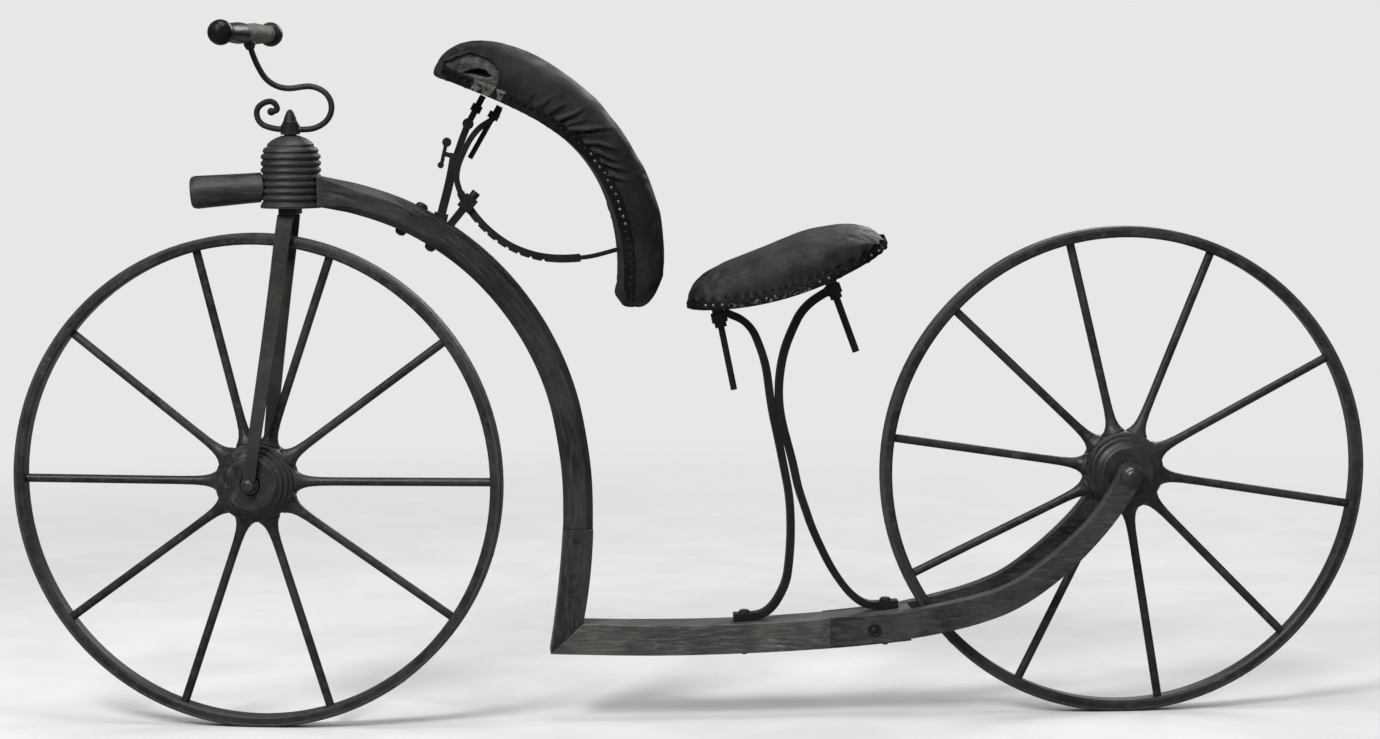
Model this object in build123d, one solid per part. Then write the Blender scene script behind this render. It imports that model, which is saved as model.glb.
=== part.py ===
from build123d import *
from math import atan2, cos, degrees, radians, sin, sqrt
import os

# A two-wheeled running machine with carriage wheels, a dropped wooden frame and a padded rest.
# Sizes are in millimetres. The shape is first laid out over the ground, front towards -X and
# the left side towards -Y, then shifted so that the origin is the rider's place on the saddle.

# Overall layout
wheel_radius = 355.5
hub_lead = 57.0
# Rear edge of the front wheel when it points ahead, and front edge of the rear wheel
front_edge_x = -270.5
rear_edge_x = 272.5
rest_steer = -10.5
rider_x = 160.0
rider_z = 712.0

# Wheels
rim_width = 28.0
tyre_thick = 4.5
felloe_deep = 11.5
felloe_bevel = 3.0
spoke_radius = 6.1
nave_radius = 57.0
nave_half = 42.0
axle_radius = 8.0
# Spokes were set by hand and stand unevenly: angle of each from +X towards +Z, in degrees
front_spoke_angles = (0.3, 36.4, 71.0, 104.0, 141.5, 179.7, 215.9, 250.8, 287.4, 325.6)
rear_spoke_angles = (-9.2, 28.2, 68.1, 103.5, 136.3, 171.3, 205.6, 243.5, 279.4, 314.6)
running_gap = 0.06
pin_gap = 0.15
seat_gap = 0.3

# Fork
leg_root_wide = 22.5
leg_wide = 16.5
leg_thick = 6.0
leg_root_y = 19.0
leg_clearance = 5.5
leg_hub_y = 48.5
leg_lead = 4.0
crown_gap = 27.0
crown_thick = 8.0
spindle_radius = 9.0
spindle_neck_radius = 5.5

# Head
dome_radius = 42.0
dome_groove = 2.2
dome_rib_rise = 9.6
dome_rib_pitch = 9.7
dome_rib_count = 9
dome_high = 102.0

# Handle
rod_radius = 4.2
grip_x = -61.0
grip_rise = 144.0
grip_half = 142.5
ball_radius = 17.8

# Wooden frame
perch_wide = 46.0
perch_half_deep = 21.0
perch_chamfer = 9.5
post_x = -166.5
joint_z = 283.0
platform_wide = 60.0
platform_end_x = 315.0
platform_top = 142.5
platform_deep = 43.0
scarf_x = 190.0
arm_end_y = 45.0
arm_out_y = 65.0
arm_eye = 17.0

# Saddle and arm rest
saddle_ahead = 165.0
saddle_behind = 117.0
saddle_fall_ahead = 114.0
saddle_fall_behind = 25.0
saddle_half = 96.0
stay_half = 5.4
stay_wide = 18.0
front_foot_x = 58.0
rear_foot_lead = 17.0
board_thick = 11.0
pad_wide = 190.0
pad_round = 34.0

front_hub_x = front_edge_x - wheel_radius
steer_x = front_hub_x + hub_lead
rear_x = rear_edge_x + wheel_radius
crown_z = 2 * wheel_radius + crown_gap
dome_low_z = crown_z + crown_thick + 1.0
dome_top_z = dome_low_z + dome_high
grip_z = dome_top_z + grip_rise
head_z = dome_low_z + 28.5
felloe_outer = wheel_radius - tyre_thick
felloe_inner = felloe_outer - felloe_deep


def unit(heading):
    """Direction in the side plane of a heading in degrees, from +X towards +Z."""
    return Vector(cos(radians(heading)), 0, sin(radians(heading)))


def side_point(x, z):
    """A point in the middle side plane."""
    return Vector(x, 0, z)


def arc_nodes(stations):
    """Points and directions of the arcs that join stations of x, z and heading."""
    nodes = []
    for (x0, z0, a0), (x1, z1, a1) in zip(stations, stations[1:]):
        p0 = side_point(x0, z0)
        p1 = side_point(x1, z1)
        t0 = unit(a0)
        t1 = unit(a1)
        span = p1 - p0
        both = t0 + t1
        turn = 2 * (1 - t0.dot(t1))
        along = span.dot(both)
        if turn < 1e-6:
            reach = span.dot(span) / (2 * along)
        else:
            reach = (sqrt(along * along + turn * span.dot(span)) - along) / turn
        inner0 = p0 + t0 * reach
        inner1 = p1 - t1 * reach
        nodes.append((p0, t0))
        nodes.append(((inner0 + inner1) * 0.5, (inner1 - inner0).normalized()))
    x, z, a = stations[-1]
    nodes.append((side_point(x, z), unit(a)))
    return nodes


def arc_edges(nodes, shift=0.0):
    """Edges through the nodes, moved sideways by shift to the left of travel."""
    edges = []
    for (p0, t0), (p1, t1) in zip(nodes, nodes[1:]):
        start = p0 + Vector(-t0.Z, 0, t0.X) * shift
        end = p1 + Vector(-t1.Z, 0, t1.X) * shift
        chord = end - start
        if abs(chord.cross(t0).Y) < 1e-3 * chord.length:
            edges.append(Edge.make_line(start, end))
        else:
            edges.append(Edge.make_tangent_arc(start, t0, end))
    return edges


def chain(stations):
    """Edges of a smooth chain of arcs through stations of x, z and heading."""
    return arc_edges(arc_nodes(stations))


def fitted(stations, first, last):
    """Drawn stations stretched so that their ends land on two points, headings turned to suit."""
    x0, z0, _ = stations[0]
    x1, z1, _ = stations[-1]
    scale_x = (last[0] - first[0]) / (x1 - x0)
    scale_z = (last[1] - first[1]) / (z1 - z0)
    rows = []
    for x, z, heading in stations:
        way = unit(heading)
        heading = degrees(atan2(way.Z * scale_z, way.X * scale_x))
        rows.append((first[0] + (x - x0) * scale_x, first[1] + (z - z0) * scale_z, heading))
    return rows


def shifted(stations, dx, dz):
    """Drawn stations moved as they are."""
    return [(x + dx, z + dz, heading) for x, z, heading in stations]


def side_solid(edges, low_y, high_y):
    """Solid between two side planes, with a closed loop of side-plane edges as outline."""
    face = Face(Wire(edges))
    solid = extrude(face, amount=high_y - low_y, dir=(0, 1, 0))
    return Pos(0, low_y, 0) * solid


def strip(stations, half_deep, low_y, high_y):
    """Bent bar of even depth about a chain of arcs."""
    nodes = arc_nodes(stations)
    left = arc_edges(nodes, half_deep)
    right = arc_edges(nodes, -half_deep)
    ends = [
        Edge.make_line(left[0].position_at(0), right[0].position_at(0)),
        Edge.make_line(left[-1].position_at(1), right[-1].position_at(1)),
    ]
    return side_solid(left + right + ends, low_y, high_y)


def poly_edges(points):
    """Straight edges through x, z points, in order."""
    places = [side_point(x, z) for x, z in points]
    return [Edge.make_line(a, b) for a, b in zip(places, places[1:])]


def plan_solid(points, low_z, high_z):
    """Upright block over a closed outline of x, y points."""
    places = [Vector(x, y, low_z) for x, y in points]
    loop = [Edge.make_line(a, b) for a, b in zip(places, places[1:] + places[:1])]
    return extrude(Face(Wire(loop)), amount=high_z - low_z, dir=(0, 0, 1))


def turned(profile, at=(0, 0, 0)):
    """Turned piece about a vertical axis from points of radius and height."""
    places = [Vector(r, 0, z) for r, z in profile]
    loop = [Edge.make_line(a, b) for a, b in zip(places, places[1:] + places[:1])]
    return Pos(*at) * revolve(Face(Wire(loop)), axis=Axis.Z)


def cross_turned(profile, x, z):
    """Turned piece about an axis along Y from points of radius and sideways place."""
    return Pos(x, 0, z) * Rot(-90, 0, 0) * turned(profile)


def bar(start, end, radius):
    """Round bar between two points."""
    a = Vector(*start)
    b = Vector(*end)
    plane = Plane(origin=a, z_dir=b - a)
    return extrude(plane * Circle(radius), amount=(b - a).length)


def block_between(start, end, deep, wide):
    """Flat bar between two points, deep in the side plane and wide along Y."""
    a = Vector(*start)
    b = Vector(*end)
    plane = Plane(origin=a, x_dir=(0, 1, 0), z_dir=b - a)
    return extrude(plane * Rectangle(wide, deep), amount=(b - a).length)


def ring_block(outer, inner, half):
    """Plain hollow cylinder about Y, for trimming."""
    return cross_turned([(inner, -half), (outer, -half), (outer, half), (inner, half)], 0, 0)


# Wheel pieces, made about the origin with the axle along Y

# Nave outline from the middle to one end: radius, sideways place
nave_steps = [
    (nave_radius, 0.0),
    (nave_radius, 18.0),
    (54.5, 21.5),
    (49.0, 22.5),
    (49.0, 25.0),
    (51.0, 26.5),
    (49.0, 28.0),
    (44.0, 29.0),
    (43.0, 32.0),
    (45.0, 33.5),
    (43.0, 35.0),
    (40.0, 37.0),
    (38.5, 40.0),
    (36.0, nave_half),
    (15.0, nave_half),
    (15.0, 37.0),
    (axle_radius + running_gap, 37.0),
]


def make_nave():
    """Turned nave with stepped rings and a recess round the axle."""
    upper = [(r, y) for r, y in nave_steps[1:]]
    lower = [(r, -y) for r, y in reversed(nave_steps[1:])]
    return cross_turned(lower + upper, 0, 0)


# Spoke outline: distance from the axle, radius of the round section
spoke_steps = [
    (nave_radius - 6.0, 17.0),
    (nave_radius + 1.0, 15.6),
    (nave_radius + 5.0, 12.4),
    (nave_radius + 11.0, 9.6),
    (nave_radius + 20.0, 7.6),
    (nave_radius + 34.0, spoke_radius + 0.4),
    (nave_radius + 60.0, spoke_radius),
    (felloe_inner + 4.0, spoke_radius),
]


def make_spokes(angles):
    """Round spokes that flare where they enter the nave."""
    outline = [(0.0, spoke_steps[0][0])] + [(r, d) for d, r in spoke_steps]
    outline.append((0.0, spoke_steps[-1][0]))
    spoke = turned(outline) & ring_block(felloe_inner, nave_radius, 30.0)
    return [Rot(0, 90 - angle, 0) * spoke for angle in angles]


def make_felloe():
    """Wooden rim with bevelled inner edges."""
    half = rim_width / 2
    inset = half - felloe_bevel
    bevel_radius = felloe_inner + felloe_bevel
    outline = [
        (felloe_outer, -half),
        (felloe_outer, half),
        (bevel_radius, half),
        (felloe_inner, inset),
        (felloe_inner, -inset),
        (bevel_radius, -half),
    ]
    return cross_turned(outline, 0, 0)


def make_tyre():
    """Flat iron tyre with worn corners."""
    half = rim_width / 2
    worn = 1.2
    outline = [
        (felloe_outer, -half),
        (wheel_radius - worn, -half),
        (wheel_radius, -half + 2 * worn),
        (wheel_radius, half - 2 * worn),
        (wheel_radius - worn, half),
        (felloe_outer, half),
    ]
    return cross_turned(outline, 0, 0)


def wheel(prefix, x, angles):
    """Node names and solids of one wheel, set on the ground at x."""
    place = Pos(x, 0, wheel_radius)
    return {
        prefix + "_nave": [place * make_nave()],
        prefix + "_spokes": [place * spoke for spoke in make_spokes(angles)],
        prefix + "_felloe": [place * make_felloe()],
        prefix + "_tyre": [place * make_tyre()],
    }


# Fork, built with the steering straight

def make_fork_leg(side):
    """One fork leg: flat and tapering from the side, shouldered and bowed out seen from the front."""
    eye = leg_wide / 2 + 2
    shoulder_y = rim_width / 2 + leg_clearance + leg_thick / 2
    top = side_point(steer_x - leg_lead, crown_z)
    hub = side_point(front_hub_x, wheel_radius)
    down = (hub - top).normalized()
    across = Vector(-down.Z, 0, down.X)
    corners = [
        top - across * (leg_root_wide / 2),
        hub - across * (leg_wide / 2),
        hub + across * (leg_wide / 2),
        top + across * (leg_root_wide / 2),
    ]
    outline = [Edge.make_line(a, b) for a, b in zip(corners, corners[1:] + corners[:1])]
    flat = side_solid(outline, -80, 80)
    flat += cross_turned([(0, -80), (eye, -80), (eye, 80), (0, 80)], front_hub_x, wheel_radius)
    flat = flat & Pos(0, 0, crown_z / 2) * Box(2000, 200, crown_z)
    # Middle line seen from the front: sideways place, height, heading
    bow_stations = [
        (leg_root_y, crown_z, -78.0),
        (shoulder_y, crown_z - 22.0, -85.0),
        (shoulder_y + 3.0, crown_z - 100.0, -87.0),
        (leg_hub_y - 3.5, wheel_radius + 90.0, -82.0),
        (leg_hub_y, wheel_radius + 40.0, -90.0),
        (leg_hub_y, wheel_radius - 40.0, -90.0),
    ]
    bow = Rot(0, 0, 90) * strip(bow_stations, leg_thick / 2, 500, 900)
    if side < 0:
        bow = mirror(bow, about=Plane.XZ)
    bore = bar((front_hub_x, -90, wheel_radius), (front_hub_x, 90, wheel_radius), axle_radius + pin_gap)
    return (flat & bow) - bore


def make_fork_crown():
    """Crown plate with the spindle that turns in the head."""
    half_y = leg_root_y + leg_thick / 2 + 1
    plate_x = steer_x - leg_lead / 2
    plate = Pos(plate_x, 0, crown_z + crown_thick / 2) * Box(leg_root_wide + 3, 2 * half_y, crown_thick)
    plate = fillet(plate.edges().filter_by(Axis.Z), 5)
    boss_z = dome_top_z + 1.5
    spindle = turned(
        [
            (0, crown_z + crown_thick),
            (spindle_radius, crown_z + crown_thick),
            (spindle_radius, boss_z),
            (spindle_neck_radius, boss_z),
            (spindle_neck_radius, boss_z + 22.0),
            (0, boss_z + 22.0),
        ],
        (steer_x, 0, 0),
    )
    return plate + spindle


def make_axle(x, half_length, collar_from, collar_to):
    """Axle with a collar against each end of the nave and a domed end."""
    outline = [
        (0, -half_length - 3),
        (5.5, -half_length - 2),
        (axle_radius, -half_length),
        (axle_radius, -collar_to),
        (12.5, -collar_to),
        (12.5, -collar_from),
        (axle_radius, -collar_from),
        (axle_radius, collar_from),
        (12.5, collar_from),
        (12.5, collar_to),
        (axle_radius, collar_to),
        (axle_radius, half_length),
        (5.5, half_length + 2),
        (0, half_length + 3),
    ]
    return cross_turned(outline, x, wheel_radius)


# Curve of the scroll handle: x from the steering axis, z, heading
scroll_stations = [
    (-57.5, 982.5, -78.0),
    (-39.0, 936.0, -58.0),
    (-4.0, 915.5, -4.0),
    (22.0, 918.0, 6.0),
    (60.0, 889.0, -90.0),
    (26.0, 857.8, -176.0),
    (-10.0, 857.8, -180.0),
    (-48.0, 880.0, -268.0),
    (-30.5, 897.0, -352.0),
    (-18.5, 887.0, -448.0),
    (-25.0, 883.0, -530.0),
]


def make_scroll_handle():
    """Bent round rod with a boss where the spindle passes and a small ball at the curl's end."""
    # The curl keeps its place over the head; the rise to the grip is stretched to meet it
    curl = shifted(scroll_stations[2:], steer_x, dome_top_z - 849.0)
    top = (steer_x + grip_x + 3.5, grip_z - 10.5)
    rise = fitted(scroll_stations[:3], top, curl[0][:2])
    path = Wire(chain(rise[:2] + curl))
    start = path.position_at(0)
    plane = Plane(origin=start, z_dir=path.tangent_at(0))
    rod = sweep(plane * Circle(rod_radius), path=path)
    boss_low = dome_top_z + 1.6
    boss_top = boss_low + 14.4
    boss = turned([(0, boss_low), (13.8, boss_low), (13.0, boss_top), (0, boss_top)], (steer_x, 0, 0))
    tip = Pos(path.position_at(1) + path.tangent_at(1) * 2) * Rot(35, 0, 0) * Sphere(rod_radius + 1.4)
    bore = bar((steer_x, 0, dome_top_z), (steer_x, 0, dome_top_z + 23), spindle_neck_radius + pin_gap)
    return (rod + boss + tip) - bore


# Grip outline from the middle to one end: radius, sideways place
grip_steps = [
    (12.0, 8.0),
    (14.5, 22.0),
    (15.2, 45.0),
    (14.2, 75.0),
    (12.0, 100.0),
    (10.6, 108.0),
    (13.0, 112.0),
    (13.0, 116.0),
    (9.0, 119.0),
    (8.6, 124.0),
]


def make_grip():
    """Turned cross grip with a ball at each end."""
    ball = []
    for turn in range(-55, 90, 18):
        ball.append((ball_radius * cos(radians(turn)), grip_half + ball_radius * sin(radians(turn))))
    half = grip_steps + ball
    outline = [(r, -y) for r, y in reversed(half)] + half
    outline = [(0, -grip_half - ball_radius)] + outline + [(0, grip_half + ball_radius)]
    grip = cross_turned(outline, steer_x + grip_x, grip_z)
    socket_x = steer_x + grip_x + 3.5
    return grip - bar((socket_x + 5, 0, grip_z - 33), (socket_x - 0.7, 0, grip_z - 6), rod_radius + 0.6)


# Finial nut outline above the handle's boss: radius, height
finial_steps = [
    (11.0, 0.0),
    (11.2, 2.6),
    (9.6, 4.2),
    (8.4, 9.0),
    (5.8, 15.5),
    (3.2, 19.6),
    (0.0, 21.0),
]


def make_finial():
    """Turned nut that holds the handle down on the spindle."""
    bore = spindle_neck_radius + pin_gap
    low = dome_top_z + 16.1
    roof = low + 7.7
    outline = [(bore, low)] + [(r, low + h) for r, h in finial_steps] + [(0, roof), (bore, roof)]
    return turned(outline, (steer_x, 0, 0))


# Head and wooden frame

# Cap of the dome, from its cylindrical part to the top: share of the radius, height below the top
dome_cap = [
    (1.000, 32.0),
    (0.985, 27.0),
    (0.935, 21.5),
    (0.860, 16.0),
    (0.760, 11.0),
    (0.640, 6.8),
    (0.500, 3.4),
    (0.360, 1.2),
    (0.300, 0.0),
]


def dome_reach(z):
    """Radius of the dome's plain outline at a height."""
    rows = [(dome_top_z - drop, share * dome_radius) for share, drop in dome_cap]
    if z <= rows[0][0]:
        return dome_radius
    for (z0, r0), (z1, r1) in zip(rows, rows[1:]):
        if z <= z1:
            return r0 + (r1 - r0) * (z - z0) / (z1 - z0)
    return rows[-1][1]


def make_dome():
    """Turned wooden head with turned grooves and a foot flange, bored for the spindle."""
    bore = spindle_radius + running_gap
    flange = dome_radius + 1.6
    outline = [(bore, dome_low_z), (flange, dome_low_z), (flange, dome_low_z + 4.0)]
    outline.append((dome_radius, dome_low_z + 5.2))
    half_wide = dome_rib_pitch * 0.24
    for i in range(dome_rib_count):
        middle = dome_low_z + dome_rib_rise + dome_rib_pitch * i
        floor = dome_reach(middle) - dome_groove
        outline.append((dome_reach(middle - half_wide), middle - half_wide))
        outline.append((floor, middle - half_wide * 0.3))
        outline.append((floor, middle + half_wide * 0.3))
        outline.append((dome_reach(middle + half_wide), middle + half_wide))
        if i < dome_rib_count - 1:
            ridge = middle + dome_rib_pitch / 2
            outline.append((dome_reach(ridge) + 0.7, ridge))
    last = outline[-1][1]
    outline += [(dome_radius * s, dome_top_z - drop) for s, drop in dome_cap if dome_top_z - drop > last + 1]
    outline.append((bore, dome_top_z))
    return turned(outline, (steer_x, 0, 0))


head_cut = bar((steer_x, 0, dome_low_z - 40), (steer_x, 0, dome_top_z + 40), dome_radius + 1 + pin_gap)
head_cut += bar(
    (steer_x, 0, dome_low_z - 40), (steer_x, 0, dome_low_z + 5.5), dome_radius + 1.6 + pin_gap
)

# Stub ahead of the head, from its blunt end: distance ahead of the steering axis, radius
horn_steps = [
    (141.5, 0.0),
    (141.5, 17.5),
    (139.5, 21.6),
    (134.0, 23.4),
    (60.0, 21.4),
    (20.0, 20.8),
    (20.0, 0.0),
]


def make_horn():
    """Short turned stub ahead of the head, dipping towards its blunt end."""
    stub = turned([(r, d) for d, r in horn_steps])
    stub = Pos(steer_x, 0, head_z + 3.5) * Rot(0, -94.0, 0) * stub
    return stub - head_cut


# Middle line of the perch from the head to the joint: x, z, heading
perch_drawn = [
    (-575.0, 775.5, -6.0),
    (-484.0, 760.5, -15.0),
    (-403.0, 731.5, -26.0),
    (-302.0, 662.0, -43.5),
    (-228.5, 569.0, -59.5),
    (-179.5, 441.0, -79.0),
    (-166.5, 330.0, -89.0),
    (-166.5, 283.0, -90.0),
]
perch_stations = fitted(perch_drawn, (steer_x - 6.0, head_z), (post_x, joint_z))
perch_track = Wire(chain(perch_stations))


def perch_section(place, way, cut):
    """Section of the perch across its path, with its corners cut."""
    plane = Plane(origin=place, x_dir=(0, 1, 0), z_dir=way)
    return plane * chamfer(Rectangle(perch_wide, 2 * perch_half_deep).vertices(), cut)


def make_perch():
    """Bent beam, square where it leaves the head and then eight-sided down to the joint."""
    nodes = arc_nodes(perch_stations)
    head_end = perch_section(*nodes[0], 0.6)
    square = perch_section(*nodes[1], 0.6)
    full = perch_section(*nodes[2], perch_chamfer)
    tongue = loft([head_end, square, full], ruled=True)
    beam = sweep(full, path=Wire(arc_edges(nodes[2:])))
    return (tongue + beam) - head_cut


# Mitre between upright and platform, and the rear end of the platform: x, z
corner_inner = (post_x + 5.5, platform_top + 3.5)
corner_outer = (post_x - 41.5, platform_top + 3.5 - platform_deep)
platform_rear_top = (platform_end_x, platform_top + 17.5)
platform_rear_low = (platform_end_x, platform_top + 13.5 - platform_deep)
platform_middle_x = 60.0


def make_upright():
    """Lower end of the perch, down to the mitre with the platform."""
    rear_top = (post_x + perch_half_deep, joint_z - seat_gap)
    front_top = (post_x - perch_half_deep, joint_z - seat_gap)
    waist = platform_top + (joint_z - platform_top) * 0.5
    rear_waist = side_point(post_x + 16.0, waist)
    front_waist = side_point(post_x - 28.0, waist - 12.0)
    rear = Edge.make_three_point_arc(side_point(*rear_top), rear_waist, side_point(*corner_inner))
    front = Edge.make_three_point_arc(side_point(*corner_outer), front_waist, side_point(*front_top))
    loop = [rear, front] + poly_edges([corner_inner, corner_outer]) + poly_edges([front_top, rear_top])
    return side_solid(loop, -perch_wide / 2 - 2, perch_wide / 2 + 2)


def make_platform():
    """Foot board, narrowed at its rear end between the arms."""
    inner = (corner_inner[0] + seat_gap, corner_inner[1])
    outer = (corner_outer[0] + seat_gap, corner_outer[1])
    top_middle = side_point(platform_middle_x, platform_top)
    low_middle = side_point(platform_middle_x, platform_top - platform_deep)
    top = Edge.make_three_point_arc(side_point(*inner), top_middle, side_point(*platform_rear_top))
    low = Edge.make_three_point_arc(side_point(*platform_rear_low), low_middle, side_point(*outer))
    loop = [top, low] + poly_edges([platform_rear_top, platform_rear_low]) + poly_edges([outer, inner])
    board = side_solid(loop, -platform_wide, platform_wide)
    half = platform_wide / 2
    start = perch_wide / 2 + 2
    plan = []
    for side in (-1, 1):
        rim = [
            (post_x - 95.0, start),
            (post_x + 15.0, start),
            (post_x + 105.0, half),
            (scarf_x, half),
            (platform_end_x + 5, half * 0.8),
        ]
        rim = [(x, side * y) for x, y in rim]
        plan += rim if side < 0 else rim[::-1]
    return board & plan_solid(plan, platform_top - 95, platform_top + 105)


# Upper and lower edges of a rear arm as drawn, from the scarf to the eye: x, z, heading
arm_top_drawn = [
    (190.0, 149.5, 4.0),
    (330.0, 163.5, 11.5),
    (440.0, 192.0, 21.0),
    (512.0, 238.0, 39.0),
    (560.0, 282.0, 46.0),
    (612.5, 362.4, 66.0),
]
arm_low_drawn = [
    (190.0, 107.5, 4.0),
    (321.0, 121.0, 10.0),
    (438.0, 152.0, 21.0),
    (533.0, 212.0, 41.0),
    (583.0, 262.0, 48.0),
    (643.5, 348.6, 62.0),
]


def make_arm(side):
    """Rear arm: curved up to the axle seen from the side, splayed round the wheel from above."""
    eye = side_point(rear_x, wheel_radius)
    upper_end = eye + unit(156.0) * arm_eye
    lower_end = eye - unit(156.0) * arm_eye
    upper = chain(fitted(arm_top_drawn, (scarf_x, platform_top + 7), (upper_end.X, upper_end.Z)))
    low_start = (scarf_x, platform_top + 8 - platform_deep)
    lower = chain(fitted(arm_low_drawn, low_start, (lower_end.X, lower_end.Z)))
    nose = Edge.make_three_point_arc(
        upper[-1].position_at(1), eye + unit(64.0) * arm_eye, lower[-1].position_at(1)
    )
    front = Edge.make_line(upper[0].position_at(0), lower[0].position_at(0))
    flat = side_solid(upper + lower + [nose, front], -100, 100)
    half = platform_wide / 2
    bend_x = scarf_x + (rear_x - scarf_x) * 0.57
    plan = [
        (scarf_x + 1.0, half),
        (bend_x, arm_out_y - 4.0),
        (rear_x - 68.0, arm_out_y),
        (rear_x + 72.0, arm_out_y),
        (rear_x + 72.0, arm_end_y),
        (rear_x - 68.0, arm_end_y),
        (bend_x, arm_end_y - 6.5),
        (platform_end_x + 5, half * 0.8 + seat_gap),
    ]
    arm = flat & plan_solid([(x, side * y) for x, y in plan], 0, 2 * wheel_radius)
    return arm - bar((rear_x, -90, wheel_radius), (rear_x, 90, wheel_radius), axle_radius + pin_gap)


def make_axle_nuts(x, inner_y, thick):
    """Washer and domed nut at each end of an axle."""
    nuts = []
    for side in (-1, 1):
        outline = [
            (axle_radius + pin_gap, side * inner_y),
            (15.0, side * inner_y),
            (15.0, side * (inner_y + 2.5)),
            (12.5, side * (inner_y + 2.5)),
            (12.5, side * (inner_y + thick - 3)),
            (9.5, side * (inner_y + thick)),
            (axle_radius + pin_gap, side * (inner_y + thick)),
        ]
        nuts.append(cross_turned(outline, x, wheel_radius))
    return nuts


def dome_head(x, z, heading, radius, high, beam, y=0.0):
    """Domed bolt head on a beam, standing along a heading and cut to the beam's face."""
    outline = [(0, -4), (radius, -4), (radius, high * 0.35), (radius * 0.72, high * 0.8), (0, high)]
    head = turned(outline)
    head = Pos(x, y, z) * Rot(0, 90 - heading, 0) * head
    return head - beam


# Eye blocks of the stays: x, z
eye_places = [(rider_x - 121.1, rider_z - 127.5), (rider_x + 44.0, rider_z - 88.6)]

# Saddle stays as drawn, from the eye down to the foot: x, z, heading
front_stay_drawn = [
    (46.0, 593.0, -28.0),
    (77.0, 576.5, -42.0),
    (101.0, 531.0, -72.0),
    (113.0, 463.0, -82.0),
    (127.5, 389.0, -79.0),
    (141.0, 305.0, -87.0),
    (137.0, 212.0, -98.0),
    (121.0, 172.0, -122.0),
    (92.0, 150.5, -172.0),
    (58.0, 148.9, -180.0),
]
rear_stay_drawn = [
    (198.0, 622.0, -149.0),
    (168.0, 602.0, -138.0),
    (139.0, 553.0, -112.0),
    (125.3, 490.0, -94.0),
    (126.5, 450.0, -82.0),
    (141.0, 388.0, -75.0),
    (158.0, 320.0, -71.0),
    (178.0, 265.0, -66.0),
    (208.0, 207.0, -57.0),
    (238.0, 172.0, -38.0),
    (264.0, 162.5, 0.0),
    (298.0, 164.8, 5.0),
]
front_stay_stations = fitted(
    front_stay_drawn,
    (eye_places[0][0] + 7.1, eye_places[0][1] + 8.5),
    (front_foot_x, platform_top + 6.4),
)
rear_stay_stations = fitted(
    rear_stay_drawn,
    (eye_places[1][0] - 6.0, eye_places[1][1] - 1.4),
    (platform_end_x - rear_foot_lead, platform_top + 22.3),
)

# Screws under the saddle: top x, top z, bottom x, bottom z, radius
saddle_screws = [
    (rider_x - 123.8, rider_z - 114.0, rider_x - 100.0, rider_z - 232.0, 4.7),
    (rider_x + 39.0, rider_z - 75.0, rider_x + 77.0, rider_z - 179.0, 5.2),
]
screw_sunk = 10.0


def screw_axis(row):
    """Unit direction of a saddle screw, downwards."""
    x0, z0, x1, z1, _ = row
    return (side_point(x1, z1) - side_point(x0, z0)).normalized()


def make_stay(stations, eye_place, row):
    """Bent saddle stay with the eye block that its screw passes through."""
    axis = screw_axis(row)
    x, z = eye_place
    low = side_point(x, z) - axis * 7
    high = side_point(x, z) + axis * 7
    eye = bar(tuple(low), tuple(high), 11.5)
    reach = 30
    bore = bar(
        tuple(side_point(x, z) - axis * reach), tuple(side_point(x, z) + axis * reach), row[4] + pin_gap
    )
    stay = strip(stations, stay_half, -stay_wide / 2, stay_wide / 2)
    return (stay + eye) - bore


def make_saddle_screw(row, board):
    """Adjusting screw that hangs from the saddle board."""
    x0, z0, x1, z1, radius = row
    axis = screw_axis(row)
    sunk = side_point(x0, z0) - axis * screw_sunk
    screw = bar(tuple(sunk), (x1, 0, z1), radius)
    return screw - board


def make_saddle_nuts(row, eye_place):
    """Nuts above and below the eye block."""
    axis = screw_axis(row)
    x, z = eye_place
    nuts = []
    for start, thick, across in ((7.2, 7.0, 9.5), (-13.2, 6.0, 9.5)):
        origin = side_point(x, z) + axis * start
        plane = Plane(origin=origin, x_dir=(0, 1, 0), z_dir=axis)
        sketch = plane * (RegularPolygon(across, 6) - Circle(row[4] + pin_gap))
        nuts.append(extrude(sketch, amount=thick))
    return nuts


# Saddle board: lower face of the board from front to rear, x, z, heading
saddle_drawn = [(-5.0, 598.0, 0.0), (144.0, 622.0, 19.0), (277.0, 687.0, 31.0)]
saddle_front = (rider_x - saddle_ahead, rider_z - saddle_fall_ahead)
saddle_rear = (rider_x + saddle_behind, rider_z - saddle_fall_behind)
saddle_stations = fitted(saddle_drawn, saddle_front, saddle_rear)
# Half plan of the saddle: share of its length, share of its half width
saddle_plan = [
    (0.000, 0.00),
    (0.012, 0.27),
    (0.055, 0.48),
    (0.130, 0.62),
    (0.290, 0.75),
    (0.510, 0.89),
    (0.690, 1.00),
    (0.835, 0.98),
    (0.935, 0.81),
    (0.984, 0.52),
    (1.000, 0.00),
]
# Crown of the cushion as drawn, from front to rear: x, z, heading
saddle_crown = [
    (-5.0, 609.3, 112.0),
    (-6.5, 623.0, 72.0),
    (12.0, 643.0, 36.0),
    (63.0, 666.0, 22.0),
    (185.0, 713.0, 19.0),
    (228.0, 719.0, -6.0),
    (268.0, 703.0, -52.0),
    (271.2, 696.7, -82.0),
]


def saddle_outline(shrink):
    """Closed plan outline of the saddle, drawn in by shrink."""
    long = saddle_ahead + saddle_behind
    rim = []
    for along, wide in saddle_plan:
        x = saddle_front[0] + shrink + (long - 2 * shrink) * along
        rim.append((x, max(saddle_half * wide - shrink, 0) if wide else 0))
    return rim + [(x, -w) for x, w in reversed(rim[1:-1])]


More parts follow.
